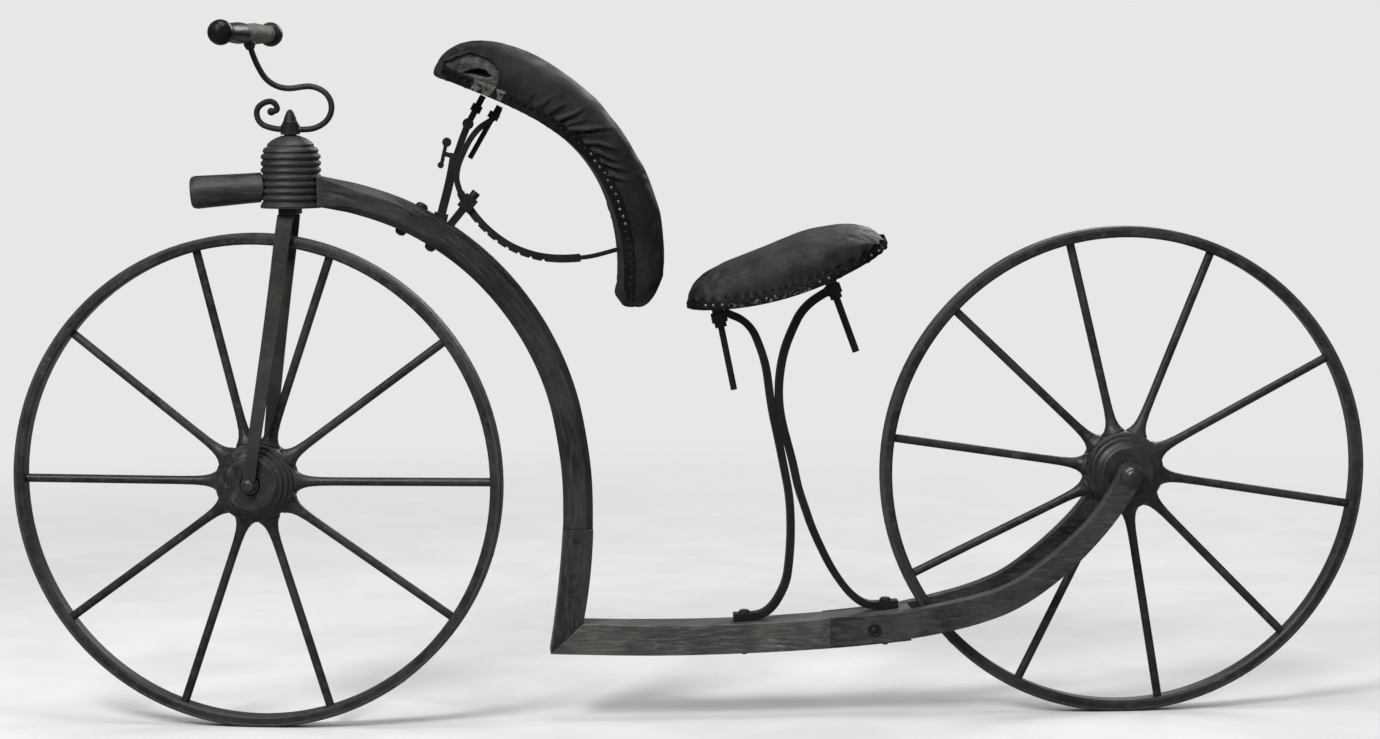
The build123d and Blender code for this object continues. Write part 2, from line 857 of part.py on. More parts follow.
def make_saddle_board():
    """Bent board under the saddle cushion."""
    nodes = arc_nodes(saddle_stations)
    low = arc_edges(nodes)
    high = arc_edges(nodes, board_thick)
    ends = [
        Edge.make_line(low[0].position_at(0), high[0].position_at(0)),
        Edge.make_line(low[-1].position_at(1), high[-1].position_at(1)),
    ]
    plan = plan_solid(saddle_outline(0), rider_z - 212, rider_z + 88)
    return side_solid(low + high + ends, -saddle_half - 20, saddle_half + 20) & plan


def crown_section(x, top, half, drop):
    """Upright section across the machine with a bowed top."""
    base = top - 130
    corners = [Vector(x, half, top - drop), Vector(x, half, base), Vector(x, -half, base)]
    corners.append(Vector(x, -half, top - drop))
    bow = Edge.make_three_point_arc(corners[3], Vector(x, 0, top), corners[0])
    sides = [Edge.make_line(a, b) for a, b in zip(corners, corners[1:])]
    return Face(Wire([bow] + sides))


def make_saddle_cushion():
    """Closed form of the leather-covered stuffing, crowned along and across."""
    nodes = arc_nodes(saddle_stations)
    low = arc_edges(nodes, board_thick + seat_gap)
    a = low[0].position_at(0)
    b = low[-1].position_at(1)
    crown = chain(fitted(saddle_crown, (a.X, a.Z), (b.X, b.Z)))
    body = side_solid(low + crown, -saddle_half - 20, saddle_half + 20)
    body = body & plan_solid(saddle_outline(-2.5), rider_z - 212, rider_z + 88)
    # Sections across the crown: share of its length, drop at the sides
    cross_rows = [(0.12, 26.0), (0.24, 26.0), (0.42, 24.0), (0.60, 24.0), (0.74, 26.0), (0.84, 28.0)]
    cross_rows.append((0.92, 30.0))
    track = Wire(crown)
    half = saddle_half + 6
    spots = [(track.position_at(along), drop) for along, drop in cross_rows]
    sections = [crown_section(a.X - 12, spots[0][0].Z, half, spots[0][1])]
    sections += [crown_section(spot.X, spot.Z, half, drop) for spot, drop in spots]
    sections.append(crown_section(b.X + 12, spots[-1][0].Z - 10, half, spots[-1][1]))
    return body & loft(sections, ruled=True)


# The arm rest stands on the perch, this share of the way along it, and moves with that spot.
# It is drawn with that spot at x -357.126, z 705.476.
rest_share = 0.3225
rest_spot = perch_track.position_at(rest_share)
rest_place = Pos(rest_spot.X + 357.126, 0, rest_spot.Z - 705.476)

# Arm rest: hollow side of the board, x, z, heading
rest_stations = [
    (-361.5, 931.5, -22.0),
    (-241.0, 879.5, -27.0),
    (-147.0, 805.0, -54.0),
    (-104.5, 690.0, -83.0),
    (-104.5, 612.0, -94.0),
]
# Outside of the rest cushion: x, z, heading
rest_crown = [
    (-361.0, 951.5, 74.0),
    (-335.0, 975.0, 24.0),
    (-293.0, 982.0, -5.0),
    (-174.0, 931.5, -37.0),
    (-85.0, 826.0, -62.0),
    (-45.0, 707.0, -88.0),
    (-58.0, 621.0, -118.0),
    (-82.0, 605.0, -180.0),
]


def make_rest_board():
    """Bent board behind the rest cushion."""
    nodes = arc_nodes(rest_stations)
    low = arc_edges(nodes)
    high = arc_edges(nodes, board_thick)
    ends = [
        Edge.make_line(low[0].position_at(0), high[0].position_at(0)),
        Edge.make_line(low[-1].position_at(1), high[-1].position_at(1)),
    ]
    return side_solid(low + high + ends, -pad_wide / 2 + 4, pad_wide / 2 - 4)


def make_rest_cushion():
    """Closed form of the leather-covered stuffing of the arm rest, rounded across."""
    nodes = arc_nodes(rest_stations)
    low = arc_edges(nodes, board_thick + seat_gap)
    a = low[0].position_at(0)
    b = low[-1].position_at(1)
    crown = chain([(a.X, a.Z, 118.0)] + rest_crown + [(b.X, b.Z, -230.0)])
    body = side_solid(low + crown, -pad_wide / 2, pad_wide / 2)
    # Rounded section carried along the board, with straight run-outs past both ends
    first, way_in = nodes[0]
    last, way_out = nodes[-1]
    half = pad_wide / 2 + 1
    high = 87.0
    plane = Plane(origin=first - way_in * 60, x_dir=(0, 1, 0), z_dir=way_in)
    outer = 1.0 if (plane.y_dir.dot(Vector(-way_in.Z, 0, way_in.X)) > 0) else -1.0
    rim = [(half, outer * (high - pad_round)), (half, outer * -6), (-half, outer * -6)]
    rim.append((-half, outer * (high - pad_round)))
    bow = Edge.make_three_point_arc(Vector(*rim[3]), Vector(0, outer * high), Vector(*rim[0]))
    sides = [Edge.make_line(Vector(*p), Vector(*q)) for p, q in zip(rim, rim[1:])]
    section = plane * Face(Wire([bow] + sides))
    track = [Edge.make_line(first - way_in * 60, first)] + chain(rest_stations)
    track.append(Edge.make_line(last, last + way_out * 60))
    return body & sweep(section, path=Wire(track))


# Ironwork under the arm rest
post_y = 9.0
post_wide = 10.0
arc_y = -4.5
arc_wide = 8.0

# Middle line of the notched arc: x, z, heading
rest_arc_stations = [
    (-273.0, 888.0, -97.0),
    (-284.0, 870.5, -140.0),
    (-303.0, 857.0, -136.0),
    (-321.0, 832.0, -117.0),
    (-335.0, 792.0, -95.0),
    (-330.0, 767.0, -68.0),
]
rest_notch_stations = [
    (-330.0, 767.0, -68.0),
    (-308.0, 731.0, -52.0),
    (-270.0, 696.0, -34.0),
    (-226.0, 676.5, -15.0),
    (-190.0, 671.5, -2.0),
    (-160.0, 672.5, 4.0),
]
notch_count = 7


def make_rest_arc():
    """Bent bar with notches on its lower edge that props the arm rest."""
    low_y = arc_y - arc_wide / 2
    high_y = arc_y + arc_wide / 2
    upper = strip(rest_arc_stations, 4.2, low_y, high_y)
    notched = strip(rest_notch_stations, 5.6, low_y, high_y)
    tail = strip([(-161.0, 672.5, 4.0), (-105.2, 684.5, 16.0)], 3.0, low_y, high_y)
    track = Wire(arc_edges(arc_nodes(rest_notch_stations), -5.6))
    tooth = 9.0
    for i in range(notch_count):
        length = track.length * (0.24 + 0.085 * i)
        spot = track.position_at(length, position_mode=PositionMode.LENGTH)
        notch = Pos(spot.X, 0, spot.Z) * Rot(0, 45, 0) * Box(tooth * 0.5, 60, tooth * 0.5)
        notched = notched - notch
    return upper + notched + tail


def make_rest_post():
    """Lower part of the telescoping prop on the perch."""
    low_y = post_y - post_wide / 2
    high_y = post_y + post_wide / 2
    post = strip([(-360.0, 725.0, 76.0), (-343.0, 792.0, 78.0), (-337.5, 822.0, 80.0)], 6.3, low_y, high_y)
    foot = block_between((-361.5, post_y, 719.0), (-357.0, post_y, 737.0), 20.0, 17.0)
    return post, foot


def make_rest_slide():
    """Upper part of the prop, clamped on the lower part and hinged under the board."""
    low_y = post_y + post_wide / 2 + pin_gap
    slide = strip([(-339.5, 806.0, 70.0), (-318.0, 863.0, 66.0)], 5.0, low_y, low_y + 6)
    knuckle = Pos(-318, post_y, 864) * Rot(90, 0, 0) * Cylinder(8, 16)
    link = block_between((-318, post_y, 864), (-296.0, post_y, 903.5), 9.0, 9.0)
    nut = block_between((-308.6, post_y, 880.8), (-303.2, post_y, 890.6), 15.0, 15.0)
    return slide + knuckle + link + nut


pieces = {}


def build_wheels():
    """Both wheels."""
    pieces.update(wheel("front", front_hub_x, front_spoke_angles))
    pieces.update(wheel("rear", rear_x, rear_spoke_angles))


def build_steering():
    """Fork, front axle, handle, grip and finial, pointing straight ahead."""
    pieces["fork_crown"] = [make_fork_crown()]
    pieces["left_fork_leg"] = [make_fork_leg(-1)]
    pieces["right_fork_leg"] = [make_fork_leg(1)]
    leg_face = leg_hub_y - leg_thick / 2
    outer = leg_hub_y + leg_thick / 2
    pieces["front_axle"] = [make_axle(front_hub_x, outer + 5, nave_half + seat_gap, leg_face - seat_gap)]
    pieces["scroll_handle"] = [make_scroll_handle()]
    pieces["hand_grip"] = [make_grip()]
    pieces["finial_nut"] = [make_finial()]


def build_frame():
    """Head, beam, platform, arms, rear axle and the bolts through the beam."""
    pieces["head_dome"] = [make_dome()]
    pieces["head_horn"] = [make_horn()]
    perch = make_perch()
    platform = make_platform()
    pieces["perch"] = [perch]
    pieces["upright"] = [make_upright()]
    pieces["platform"] = [platform]
    pieces["left_arm"] = [make_arm(-1)]
    pieces["right_arm"] = [make_arm(1)]
    pieces["rear_axle"] = [make_axle(rear_x, arm_out_y + 9, nave_half + seat_gap, arm_end_y - seat_gap)]
    pieces["rear_axle_nuts"] = make_axle_nuts(rear_x, arm_out_y + seat_gap, 8.0)
    # Bolts in the perch: share of its length, face (1 upper, -1 lower), radius, height
    bolt_rows = [(0.2615, 1, 9.0, 7.0), (0.2450, -1, 8.0, 8.0), (0.3146, -1, 8.0, 8.0)]
    pieces["perch_bolts"] = []
    for share, face, radius, high in bolt_rows:
        way = perch_track.tangent_at(share)
        out = Vector(-way.Z, 0, way.X) * face
        spot = perch_track.position_at(share) + out * perch_half_deep
        heading = degrees(atan2(out.Z, out.X))
        pieces["perch_bolts"].append(dome_head(spot.X, spot.Z, heading, radius, high, perch))


def build_saddle():
    """Stays, screws, nuts, board and cushion of the saddle."""
    pieces["front_stay"] = [make_stay(front_stay_stations, eye_places[0], saddle_screws[0])]
    pieces["rear_stay"] = [make_stay(rear_stay_stations, eye_places[1], saddle_screws[1])]
    board = make_saddle_board()
    pieces["saddle_screws"] = [make_saddle_screw(row, board) for row in saddle_screws]
    nuts = []
    for row, place in zip(saddle_screws, eye_places):
        nuts += make_saddle_nuts(row, place)
    pieces["saddle_nuts"] = nuts
    stays = pieces["front_stay"][0] + pieces["rear_stay"][0]
    pieces["stay_bolts"] = [
        dome_head(74.0, 154.0, 90.0, 8.5, 6.0, stays),
        dome_head(280.0, 168.6, 92.0, 8.5, 6.0, stays),
    ]
    pieces["saddle_board"] = [board]
    pieces["saddle_cushion"] = [make_saddle_cushion()]


def build_rest():
    """Arm rest with its prop and arc, drawn about its foot and moved there."""
    perch = rest_place.inverse() * pieces["perch"][0]
    board = make_rest_board()
    arc = make_rest_arc() - board
    post, foot = make_rest_post()
    pieces["rest_post"] = [(post + foot) - perch]
    pieces["rest_slide"] = [make_rest_slide() - board]
    pieces["rest_arc"] = [arc]
    # Clamp that grips the arc: a post from the perch with a block round the bar
    clamp = block_between((-349.0, arc_y, 716.0), (-321.0, arc_y, 750.0), 11.0, 14.0)
    head = block_between((-327.0, arc_y, 743.0), (-313.0, arc_y, 760.0), 20.0, 17.0)
    slot_stations = [(-338.0, 779.0, -64.0), (-319.8, 748.0, -57.0), (-300.0, 721.0, -51.0)]
    slot_half = arc_wide / 2 + 0.2
    slot = strip(slot_stations, 6.2, arc_y - slot_half, arc_y + slot_half)
    pieces["rest_clamp"] = [((clamp + head) - slot) - perch]
    knob_axis = (side_point(14, 17)).normalized()
    knob_from = side_point(-313, 760) + knob_axis * seat_gap
    knob_to = knob_from + knob_axis * 9
    pieces["rest_clamp_knob"] = [bar((knob_from.X, arc_y, knob_from.Z), (knob_to.X, arc_y, knob_to.Z), 6.5)]
    # Thumb screw on the prop and hanging screw on the board
    shank = bar((-343.4, post_y, 819.0), (-353.0, post_y, 822.0), 3.4)
    wings = block_between((-356.0, post_y, 808.0), (-350.0, post_y, 834.0), 5.5, 7.0)
    lobes = Pos(-348.5, post_y, 838.0) * Rot(90, 0, 0) * Cylinder(6.6, 7.0)
    lobes += Pos(-357.5, post_y, 805.5) * Rot(90, 0, 0) * Cylinder(4.6, 7.0)
    pieces["rest_thumb_screw"] = [(shank + wings + lobes) - pieces["rest_post"][0]]
    screw = bar((-273.5, 7.0, 889.0), (-316.0, 7.0, 815.0), 3.8)
    collar = bar((-279.0, 7.0, 879.4), (-284.0, 7.0, 870.7), 8.0)
    pieces["rest_screw"] = [(screw + collar) - board - arc]
    pieces["rest_board"] = [board]
    pieces["rest_cushion"] = [make_rest_cushion()]
    for name in [name for name in pieces if name.startswith("rest_")]:
        pieces[name] = [rest_place * shape for shape in pieces[name]]


steered = [
    "front_nave",
    "front_spokes",
    "front_felloe",
    "front_tyre",
    "front_axle",
    "fork_crown",
    "left_fork_leg",
    "right_fork_leg",
    "scroll_handle",
    "hand_grip",
    "finial_nut",
]


def write_parts():
    """Turn the steered pieces to their resting angle, shift all to the origin and save them."""
    os.makedirs("parts", exist_ok=True)
    turn = Pos(steer_x, 0, 0) * Rot(0, 0, rest_steer) * Pos(-steer_x, 0, 0)
    shift = Pos(-rider_x, 0, -rider_z)
    for name, shapes in pieces.items():
        solids = []
        for shape in shapes:
            placed = shift * turn * shape if name in steered else shift * shape
            solids += list(placed.solids())
        part = solids[0] if len(solids) == 1 else Compound(children=solids)
        part.label = name
        export_step(part, "parts/" + name + ".step")
        print(name, len(solids))


build_wheels()
build_steering()
build_frame()
build_saddle()
build_rest()
write_parts()
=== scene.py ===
"""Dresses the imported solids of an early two-wheeled running machine.

The wooden frame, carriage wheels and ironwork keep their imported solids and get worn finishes. The two
leather cushions are stuffed, puckered and tacked here, and the small trim is added piece by piece.
"""

import logging
import math
from collections.abc import Callable, Iterator, Sequence
from contextlib import contextmanager
from dataclasses import dataclass
from enum import Enum
from functools import cache

import bmesh
import bpy
import numpy as np
from mathutils import Matrix, Vector, noise
from mathutils.bvhtree import BVHTree


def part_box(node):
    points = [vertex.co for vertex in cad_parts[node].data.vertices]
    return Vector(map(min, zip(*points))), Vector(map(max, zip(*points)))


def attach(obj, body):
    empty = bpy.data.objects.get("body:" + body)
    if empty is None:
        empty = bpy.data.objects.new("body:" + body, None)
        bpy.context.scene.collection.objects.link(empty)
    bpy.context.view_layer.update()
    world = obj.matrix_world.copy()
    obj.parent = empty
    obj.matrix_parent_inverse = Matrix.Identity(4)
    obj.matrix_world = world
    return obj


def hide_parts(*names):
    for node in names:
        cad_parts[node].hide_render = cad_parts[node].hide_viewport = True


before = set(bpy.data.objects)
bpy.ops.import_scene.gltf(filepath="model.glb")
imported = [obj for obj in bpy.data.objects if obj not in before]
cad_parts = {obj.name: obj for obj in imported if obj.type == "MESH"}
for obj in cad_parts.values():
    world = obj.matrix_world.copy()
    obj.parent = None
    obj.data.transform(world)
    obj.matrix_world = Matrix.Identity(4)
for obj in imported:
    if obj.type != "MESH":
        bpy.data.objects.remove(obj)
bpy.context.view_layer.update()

logging.basicConfig(level=logging.INFO, format="%(message)s")
log = logging.getLogger("machine")

STEER_X = -0.729
REST_STEER = math.radians(-10.5)
CREASED_ANGLE = 70.0
SOFT_ANGLE = 60.0
TACK_ANGLE = 50.0
TRIM_ANGLE = 40.0
NAIL_ANGLE = 35.0
CLOTH_SPACING = 0.005
CLOTH_FRAMES = 20
FAR = 1e9
Colour = tuple[float, float, float, float]
Spots = Sequence[tuple[float, float]]
Piece = bpy.types.Object
Socket = bpy.types.NodeSocket
Material = bpy.types.Material


class Slot(Enum):
    """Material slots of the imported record."""

    TYRE_IRON = "tyre_iron"
    BLACK_IRON = "black_iron"
    OLD_LEATHER = "old_leather"


class Body(Enum):
    """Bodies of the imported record."""

    FRAME = "frame"
    FORK = "fork"
    FRONT_WHEEL = "front_wheel"
    REAR_WHEEL = "rear_wheel"


def grey(level: float, warmth: float = 0.06) -> Colour:
    """A nearly neutral colour, its red raised and its blue lowered by the warmth."""
    return (level * (1 + warmth), level, level * (1 - warmth), 1.0)


# Modelling moves


def pick(*pieces: Piece) -> None:
    """Select only these pieces and make the last one active.

    Args:
        pieces: The pieces to select.
    """
    if bpy.context.object and bpy.context.object.mode != "OBJECT":
        bpy.ops.object.mode_set(mode="OBJECT")
    bpy.ops.object.select_all(action="DESELECT")
    for piece in pieces:
        piece.select_set(True)
        bpy.context.view_layer.objects.active = piece


@contextmanager
def editing(piece: Piece) -> Iterator[None]:
    """Edit mode on one piece, with everything selected on entry.

    Args:
        piece: The piece to edit.

    Returns:
        The context, which ends in object mode.
    """
    pick(piece)
    bpy.ops.object.mode_set(mode="EDIT")
    bpy.ops.mesh.select_all(action="SELECT")
    try:
        yield
    finally:
        bpy.ops.object.mode_set(mode="OBJECT")


def select_faces(piece: Piece, test: Callable[[bmesh.types.BMFace], bool]) -> None:
    """Select the faces of a piece in edit mode that pass a test, and no others.

    Args:
        piece: The piece, in edit mode.
        test: Says whether a face is selected.
    """
    bpy.ops.mesh.select_mode(type="FACE")
    for face in bmesh.from_edit_mesh(piece.data).faces:
        face.select = test(face)
    bmesh.update_edit_mesh(piece.data)


def apply_modifiers(piece: Piece) -> None:
    """Apply every modifier of the piece in order."""
    pick(piece)
    for modifier in list(piece.modifiers):
        bpy.ops.object.modifier_apply(modifier=modifier.name)


def smooth(piece: Piece, angle: float) -> None:
    """Shade the piece smooth below an angle in degrees."""
    pick(piece)
    bpy.ops.object.shade_smooth_by_angle(angle=math.radians(angle))


def closed(piece: Piece) -> None:
    """Merge doubled points and turn every face outwards."""
    with editing(piece):
        bpy.ops.mesh.remove_doubles(threshold=1e-5)
        bpy.ops.mesh.normals_make_consistent(inside=False)


def aim(place: Vector, normal: Vector, spin: float = 0.0) -> Matrix:
    """Placement that stands a piece's Z axis on a normal, spun about it in radians."""
    turn = normal.to_track_quat("Z", "Y").to_matrix().to_4x4()
    return Matrix.Translation(place) @ turn @ Matrix.Rotation(spin, 4, "Z")


def placed(name: str, data: bpy.types.ID) -> Piece:
    """A new object of the scene with this data.

    Args:
        name: Name of the object.
        data: Its mesh, lamp or camera.

    Returns:
        The linked object.
    """
    piece = bpy.data.objects.new(name, data)
    bpy.context.scene.collection.objects.link(piece)
    return piece


def strew(pattern: Piece, places: Sequence[Matrix], name: str) -> Piece:
    """Copy one small piece to many places and join the copies.

    Args:
        pattern: The piece that repeats, which is used up.
        places: One placement for each copy.
        name: Name of the joined piece.

    Returns:
        The joined piece.
    """
    copies = []
    for place in places:
        copies.append(placed(name, pattern.data.copy()))
        copies[-1].data.transform(place)
    bpy.data.objects.remove(pattern)
    pick(*copies)
    if len(copies) > 1:
        bpy.ops.object.join()
    joined = bpy.context.view_layer.objects.active
    joined.name = name
    return joined


def copy_node(node: str, name: str) -> Piece:
    """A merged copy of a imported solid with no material, to be worked on.

    Args:
        node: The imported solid.
        name: Name of the copy.

    Returns:
        The copy.
    """
    copy = placed(name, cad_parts[node].data.copy())
    copy.data.materials.clear()
    closed(copy)
    return copy


def turned(profile: Spots, steps: int) -> Piece:
    """Turned piece about Z, drawn out from a disc ring by ring.

    Args:
        profile: Radius and height of each ring, from the foot up.
        steps: Faces round the piece.

    Returns:
        The closed piece at the origin.
    """
    bpy.ops.object.select_all(action="DESELECT")
    bpy.ops.mesh.primitive_circle_add(vertices=steps, radius=profile[0][0], fill_type="NGON")
    piece = bpy.context.active_object
    with editing(piece):
        bpy.ops.transform.translate(value=(0, 0, profile[0][1]))
        for (radius, height), (next_radius, next_height) in zip(profile, profile[1:]):
            bpy.ops.mesh.extrude_region_move(TRANSFORM_OT_translate={"value": (0, 0, next_height - height)})
            factor = next_radius / radius
            bpy.ops.transform.resize(value=(factor, factor, 1), center_override=(0, 0, next_height))
        bpy.ops.mesh.select_all(action="SELECT")
        bpy.ops.mesh.normals_make_consistent(inside=False)
    return piece


def grid(name: str, columns: int, rows: int) -> Piece:
    """Flat unit grid from 0 to 1 along X and Y, to be laid over a surface.

    Args:
        name: Name of the piece.
        columns: Faces along X.
        rows: Faces along Y.

    Returns:
        The grid.
    """
    bpy.ops.object.select_all(action="DESELECT")
    bpy.ops.mesh.primitive_grid_add(x_subdivisions=columns, y_subdivisions=rows, size=1)
    piece = bpy.context.active_object
    piece.name = name
    with editing(piece):
        bpy.ops.transform.translate(value=(0.5, 0.5, 0))
    return piece


def points_of(piece: Piece, what: str = "co") -> np.ndarray:
    """Places of the piece's points as rows of x, y and z, or their normals.

    Args:
        piece: The piece.
        what: co for places, normal for normals.

    Returns:
        One row per point.
    """
    rows = np.empty(len(piece.data.vertices) * 3)
    piece.data.vertices.foreach_get(what, rows)
    return rows.reshape(-1, 3)


def place_points(piece: Piece, rows: np.ndarray) -> None:
    """Move the piece's points to new places."""
    piece.data.vertices.foreach_set("co", np.ascontiguousarray(rows, dtype=float).ravel())
    piece.data.update()


def thicken(piece: Piece, thickness: float, offset: float) -> None:
    """Give a laid sheet its thickness, to one side, and shade it smooth.

    Args:
        piece: The sheet.
        thickness: Its thickness.
        offset: 1 to grow along the normals, -1 against them.
    """
    thick = piece.modifiers.new("thick", "SOLIDIFY")
    thick.thickness, thick.offset = thickness, offset
    apply_modifiers(piece)
    closed(piece)
    smooth(piece, SOFT_ANGLE)


def ripple(rows: np.ndarray, scale: float, seed: float = 0.0) -> np.ndarray:
    """Soft noise from -1 to 1 at each place, with scale waves to a metre."""
    shift = Vector((seed * 7.3, seed * 3.1, seed * 5.7))
    return np.array([noise.noise(Vector(row) * scale + shift) for row in rows])


def step(values: np.ndarray, low: float, high: float) -> np.ndarray:
    """Smooth step of values from 0 at low to 1 at high."""
    share = np.clip((values - low) / (high - low), 0, 1)
    return share * share * (3 - 2 * share)


def inside(rows: np.ndarray, outline: Spots) -> np.ndarray:
    """Signed distance of points to an outline, positive inside.

    Args:
        rows: Points as rows of two places.
        outline: Corners of the closed outline.

    Returns:
        Distance of each point to the nearest side.
    """
    corners = np.array(outline)
    nearest = np.full(len(rows), FAR)
    within = np.zeros(len(rows), dtype=bool)
    for (x0, z0), (x1, z1) in zip(corners, np.roll(corners, -1, axis=0)):
        span = np.array((x1 - x0, z1 - z0))
        share = np.clip(((rows - (x0, z0)) @ span) / (span @ span), 0, 1)
        nearest = np.minimum(nearest, np.linalg.norm(rows - (x0, z0) - share[:, None] * span, axis=1))
        crossing = (z0 > rows[:, 1]) != (z1 > rows[:, 1])
        reach = (x1 - x0) * (rows[:, 1] - z0) / np.where(z1 == z0, 1e-12, z1 - z0) + x0
        within ^= crossing & (rows[:, 0] < reach)
    return np.where(within, nearest, -nearest)


def mark(piece: Piece, name: str, values: np.ndarray) -> None:
    """Keep a value at each point for the materials."""
    piece.data.attributes.new(name, "FLOAT", "POINT")
    piece.data.attributes[name].data.foreach_set("value", np.ascontiguousarray(values, dtype=np.float32))


def stuffed(piece: Piece, held: Callable[[np.ndarray], np.ndarray], cap: float) -> None:
    """Turn a plain closed form into stuffed leather by a short cloth simulation.

    Args:
        piece: The closed form, which is replaced by the swollen one.
        held: Says which points are nailed down.
        cap: How far a point may move.
    """
    even = piece.modifiers.new("even", "REMESH")
    even.mode = "VOXEL"
    even.voxel_size = CLOTH_SPACING
    apply_modifiers(piece)
    before = points_of(piece)
    group = piece.vertex_groups.new(name="nailed")
    group.add([int(i) for i in np.nonzero(held(before))[0]], 1.0, "REPLACE")
    settings = piece.modifiers.new("cloth", "CLOTH").settings
    settings.use_pressure = True
    settings.uniform_pressure_force = 4.0
    settings.vertex_group_mass = "nailed"
    settings.tension_stiffness = 22
    settings.compression_stiffness = 12
    settings.bending_stiffness = 0.6
    settings.effector_weights.gravity = 0
    scene = bpy.context.scene
    for number in range(1, CLOTH_FRAMES + 1):
        scene.frame_set(number)
    apply_modifiers(piece)
    scene.frame_set(1)
    moved = points_of(piece) - before
    share = np.minimum(1.0, cap / np.maximum(np.linalg.norm(moved, axis=1), 1e-9))
    place_points(piece, before + moved * share[:, None])
    piece.vertex_groups.clear()
    finer = piece.modifiers.new("finer", "SUBSURF")
    finer.levels = finer.render_levels = 1
    apply_modifiers(piece)


# Curves in the side plane, laid out as the solids are


def heading(degrees: float) -> Vector:
    """Direction at an angle in the side plane."""
    return Vector((math.cos(math.radians(degrees)), math.sin(math.radians(degrees))))


def across(way: Vector) -> Vector:
    """Direction to the left of travel in the side plane."""
    return Vector((-way.z, 0, way.x))


@dataclass(frozen=True)
class SideCurve:
    """Smooth chain of arcs through stations of x, z and heading in degrees."""

    stations: tuple[tuple[float, float, float], ...]
    steps: int = 24

    def points(self) -> np.ndarray:
        """Sampled points of the chain as rows of x and z.

        Returns:
            One row per sampled point.
        """
        nodes: list[tuple[Vector, Vector]] = []
        for (x0, z0, a0), (x1, z1, a1) in zip(self.stations, self.stations[1:]):
            p0, p1, t0, t1 = Vector((x0, z0)), Vector((x1, z1)), heading(a0), heading(a1)
            span, both = p1 - p0, t0 + t1
            turn, along = 2 * (1 - t0.dot(t1)), span.dot(both)
            if turn < 1e-6:
                reach = span.dot(span) / (2 * along)
            else:
                reach = (math.sqrt(along * along + turn * span.dot(span)) - along) / turn
            inner0, inner1 = p0 + t0 * reach, p1 - t1 * reach
            nodes += [(p0, t0), ((inner0 + inner1) / 2, (inner1 - inner0).normalized())]
        x, z, angle = self.stations[-1]
        nodes.append((Vector((x, z)), heading(angle)))
        rows = []
        for (p0, t0), (p1, _) in zip(nodes, nodes[1:]):
            chord = p1 - p0
            half_turn = t0.angle_signed(chord, 0.0) * -1
            for i in range(self.steps):
                part = i / self.steps
                if abs(half_turn) < 1e-4:
                    rows.append(p0 + chord * part)
                    continue
                radius = chord.length / (2 * math.sin(half_turn))
                side = Vector((-t0.y, t0.x))
                swept = 2 * half_turn * part
                rows.append(p0 + t0 * radius * math.sin(swept) + side * radius * (1 - math.cos(swept)))
        rows.append(nodes[-1][0])
        return np.array([[p.x, p.y] for p in rows])

    def measured(self) -> tuple[np.ndarray, np.ndarray]:
        """Sampled points of the chain, and the length along it at each."""
        line = self.points()
        return line, np.concatenate([[0.0], np.cumsum(np.hypot(*np.diff(line, axis=0).T))])

    def locate(self, x: np.ndarray, z: np.ndarray) -> tuple[np.ndarray, np.ndarray]:
        """Places of points along the chain and beside it.

        Args:
            x: X of each point.
            z: Z of each point.

        Returns:
            Length along the chain, and distance to the left of travel.
        """
        line, starts = self.measured()
        along, beside, best = np.zeros(len(x)), np.full(len(x), FAR), np.full(len(x), FAR)
        for (px, pz), (dx, dz), start in zip(line, np.diff(line, axis=0), starts):
            length = math.hypot(dx, dz)
            share = np.clip(((x - px) * dx + (z - pz) * dz) / length**2, 0, 1)
            gap_x, gap_z = x - px - share * dx, z - pz - share * dz
            gap = np.hypot(gap_x, gap_z)
            nearer = gap < best
            best = np.where(nearer, gap, best)
            along = np.where(nearer, start + share * length, along)
            sign = np.sign(dx * gap_z - dz * gap_x)
            beside = np.where(nearer, gap * np.where(sign == 0, 1, sign), beside)
        return along, beside

    def at(self, length: float) -> tuple[Vector, Vector]:
        """Point and direction at a length along the chain, in the side plane.

        Args:
            length: Length from the chain's start.

        Returns:
            The point and the unit direction.
        """
        line, starts = self.measured()
        i = int(np.clip(np.searchsorted(starts, length) - 1, 0, len(line) - 2))
        dx, dz = line[i + 1] - line[i]
        way = Vector((dx, 0, dz)).normalized()
        return Vector((line[i][0], 0, line[i][1])) + way * (length - starts[i]), way

    def length(self) -> float:
        """Whole length of the chain."""
        return float(self.measured()[1][-1])


# Finishes


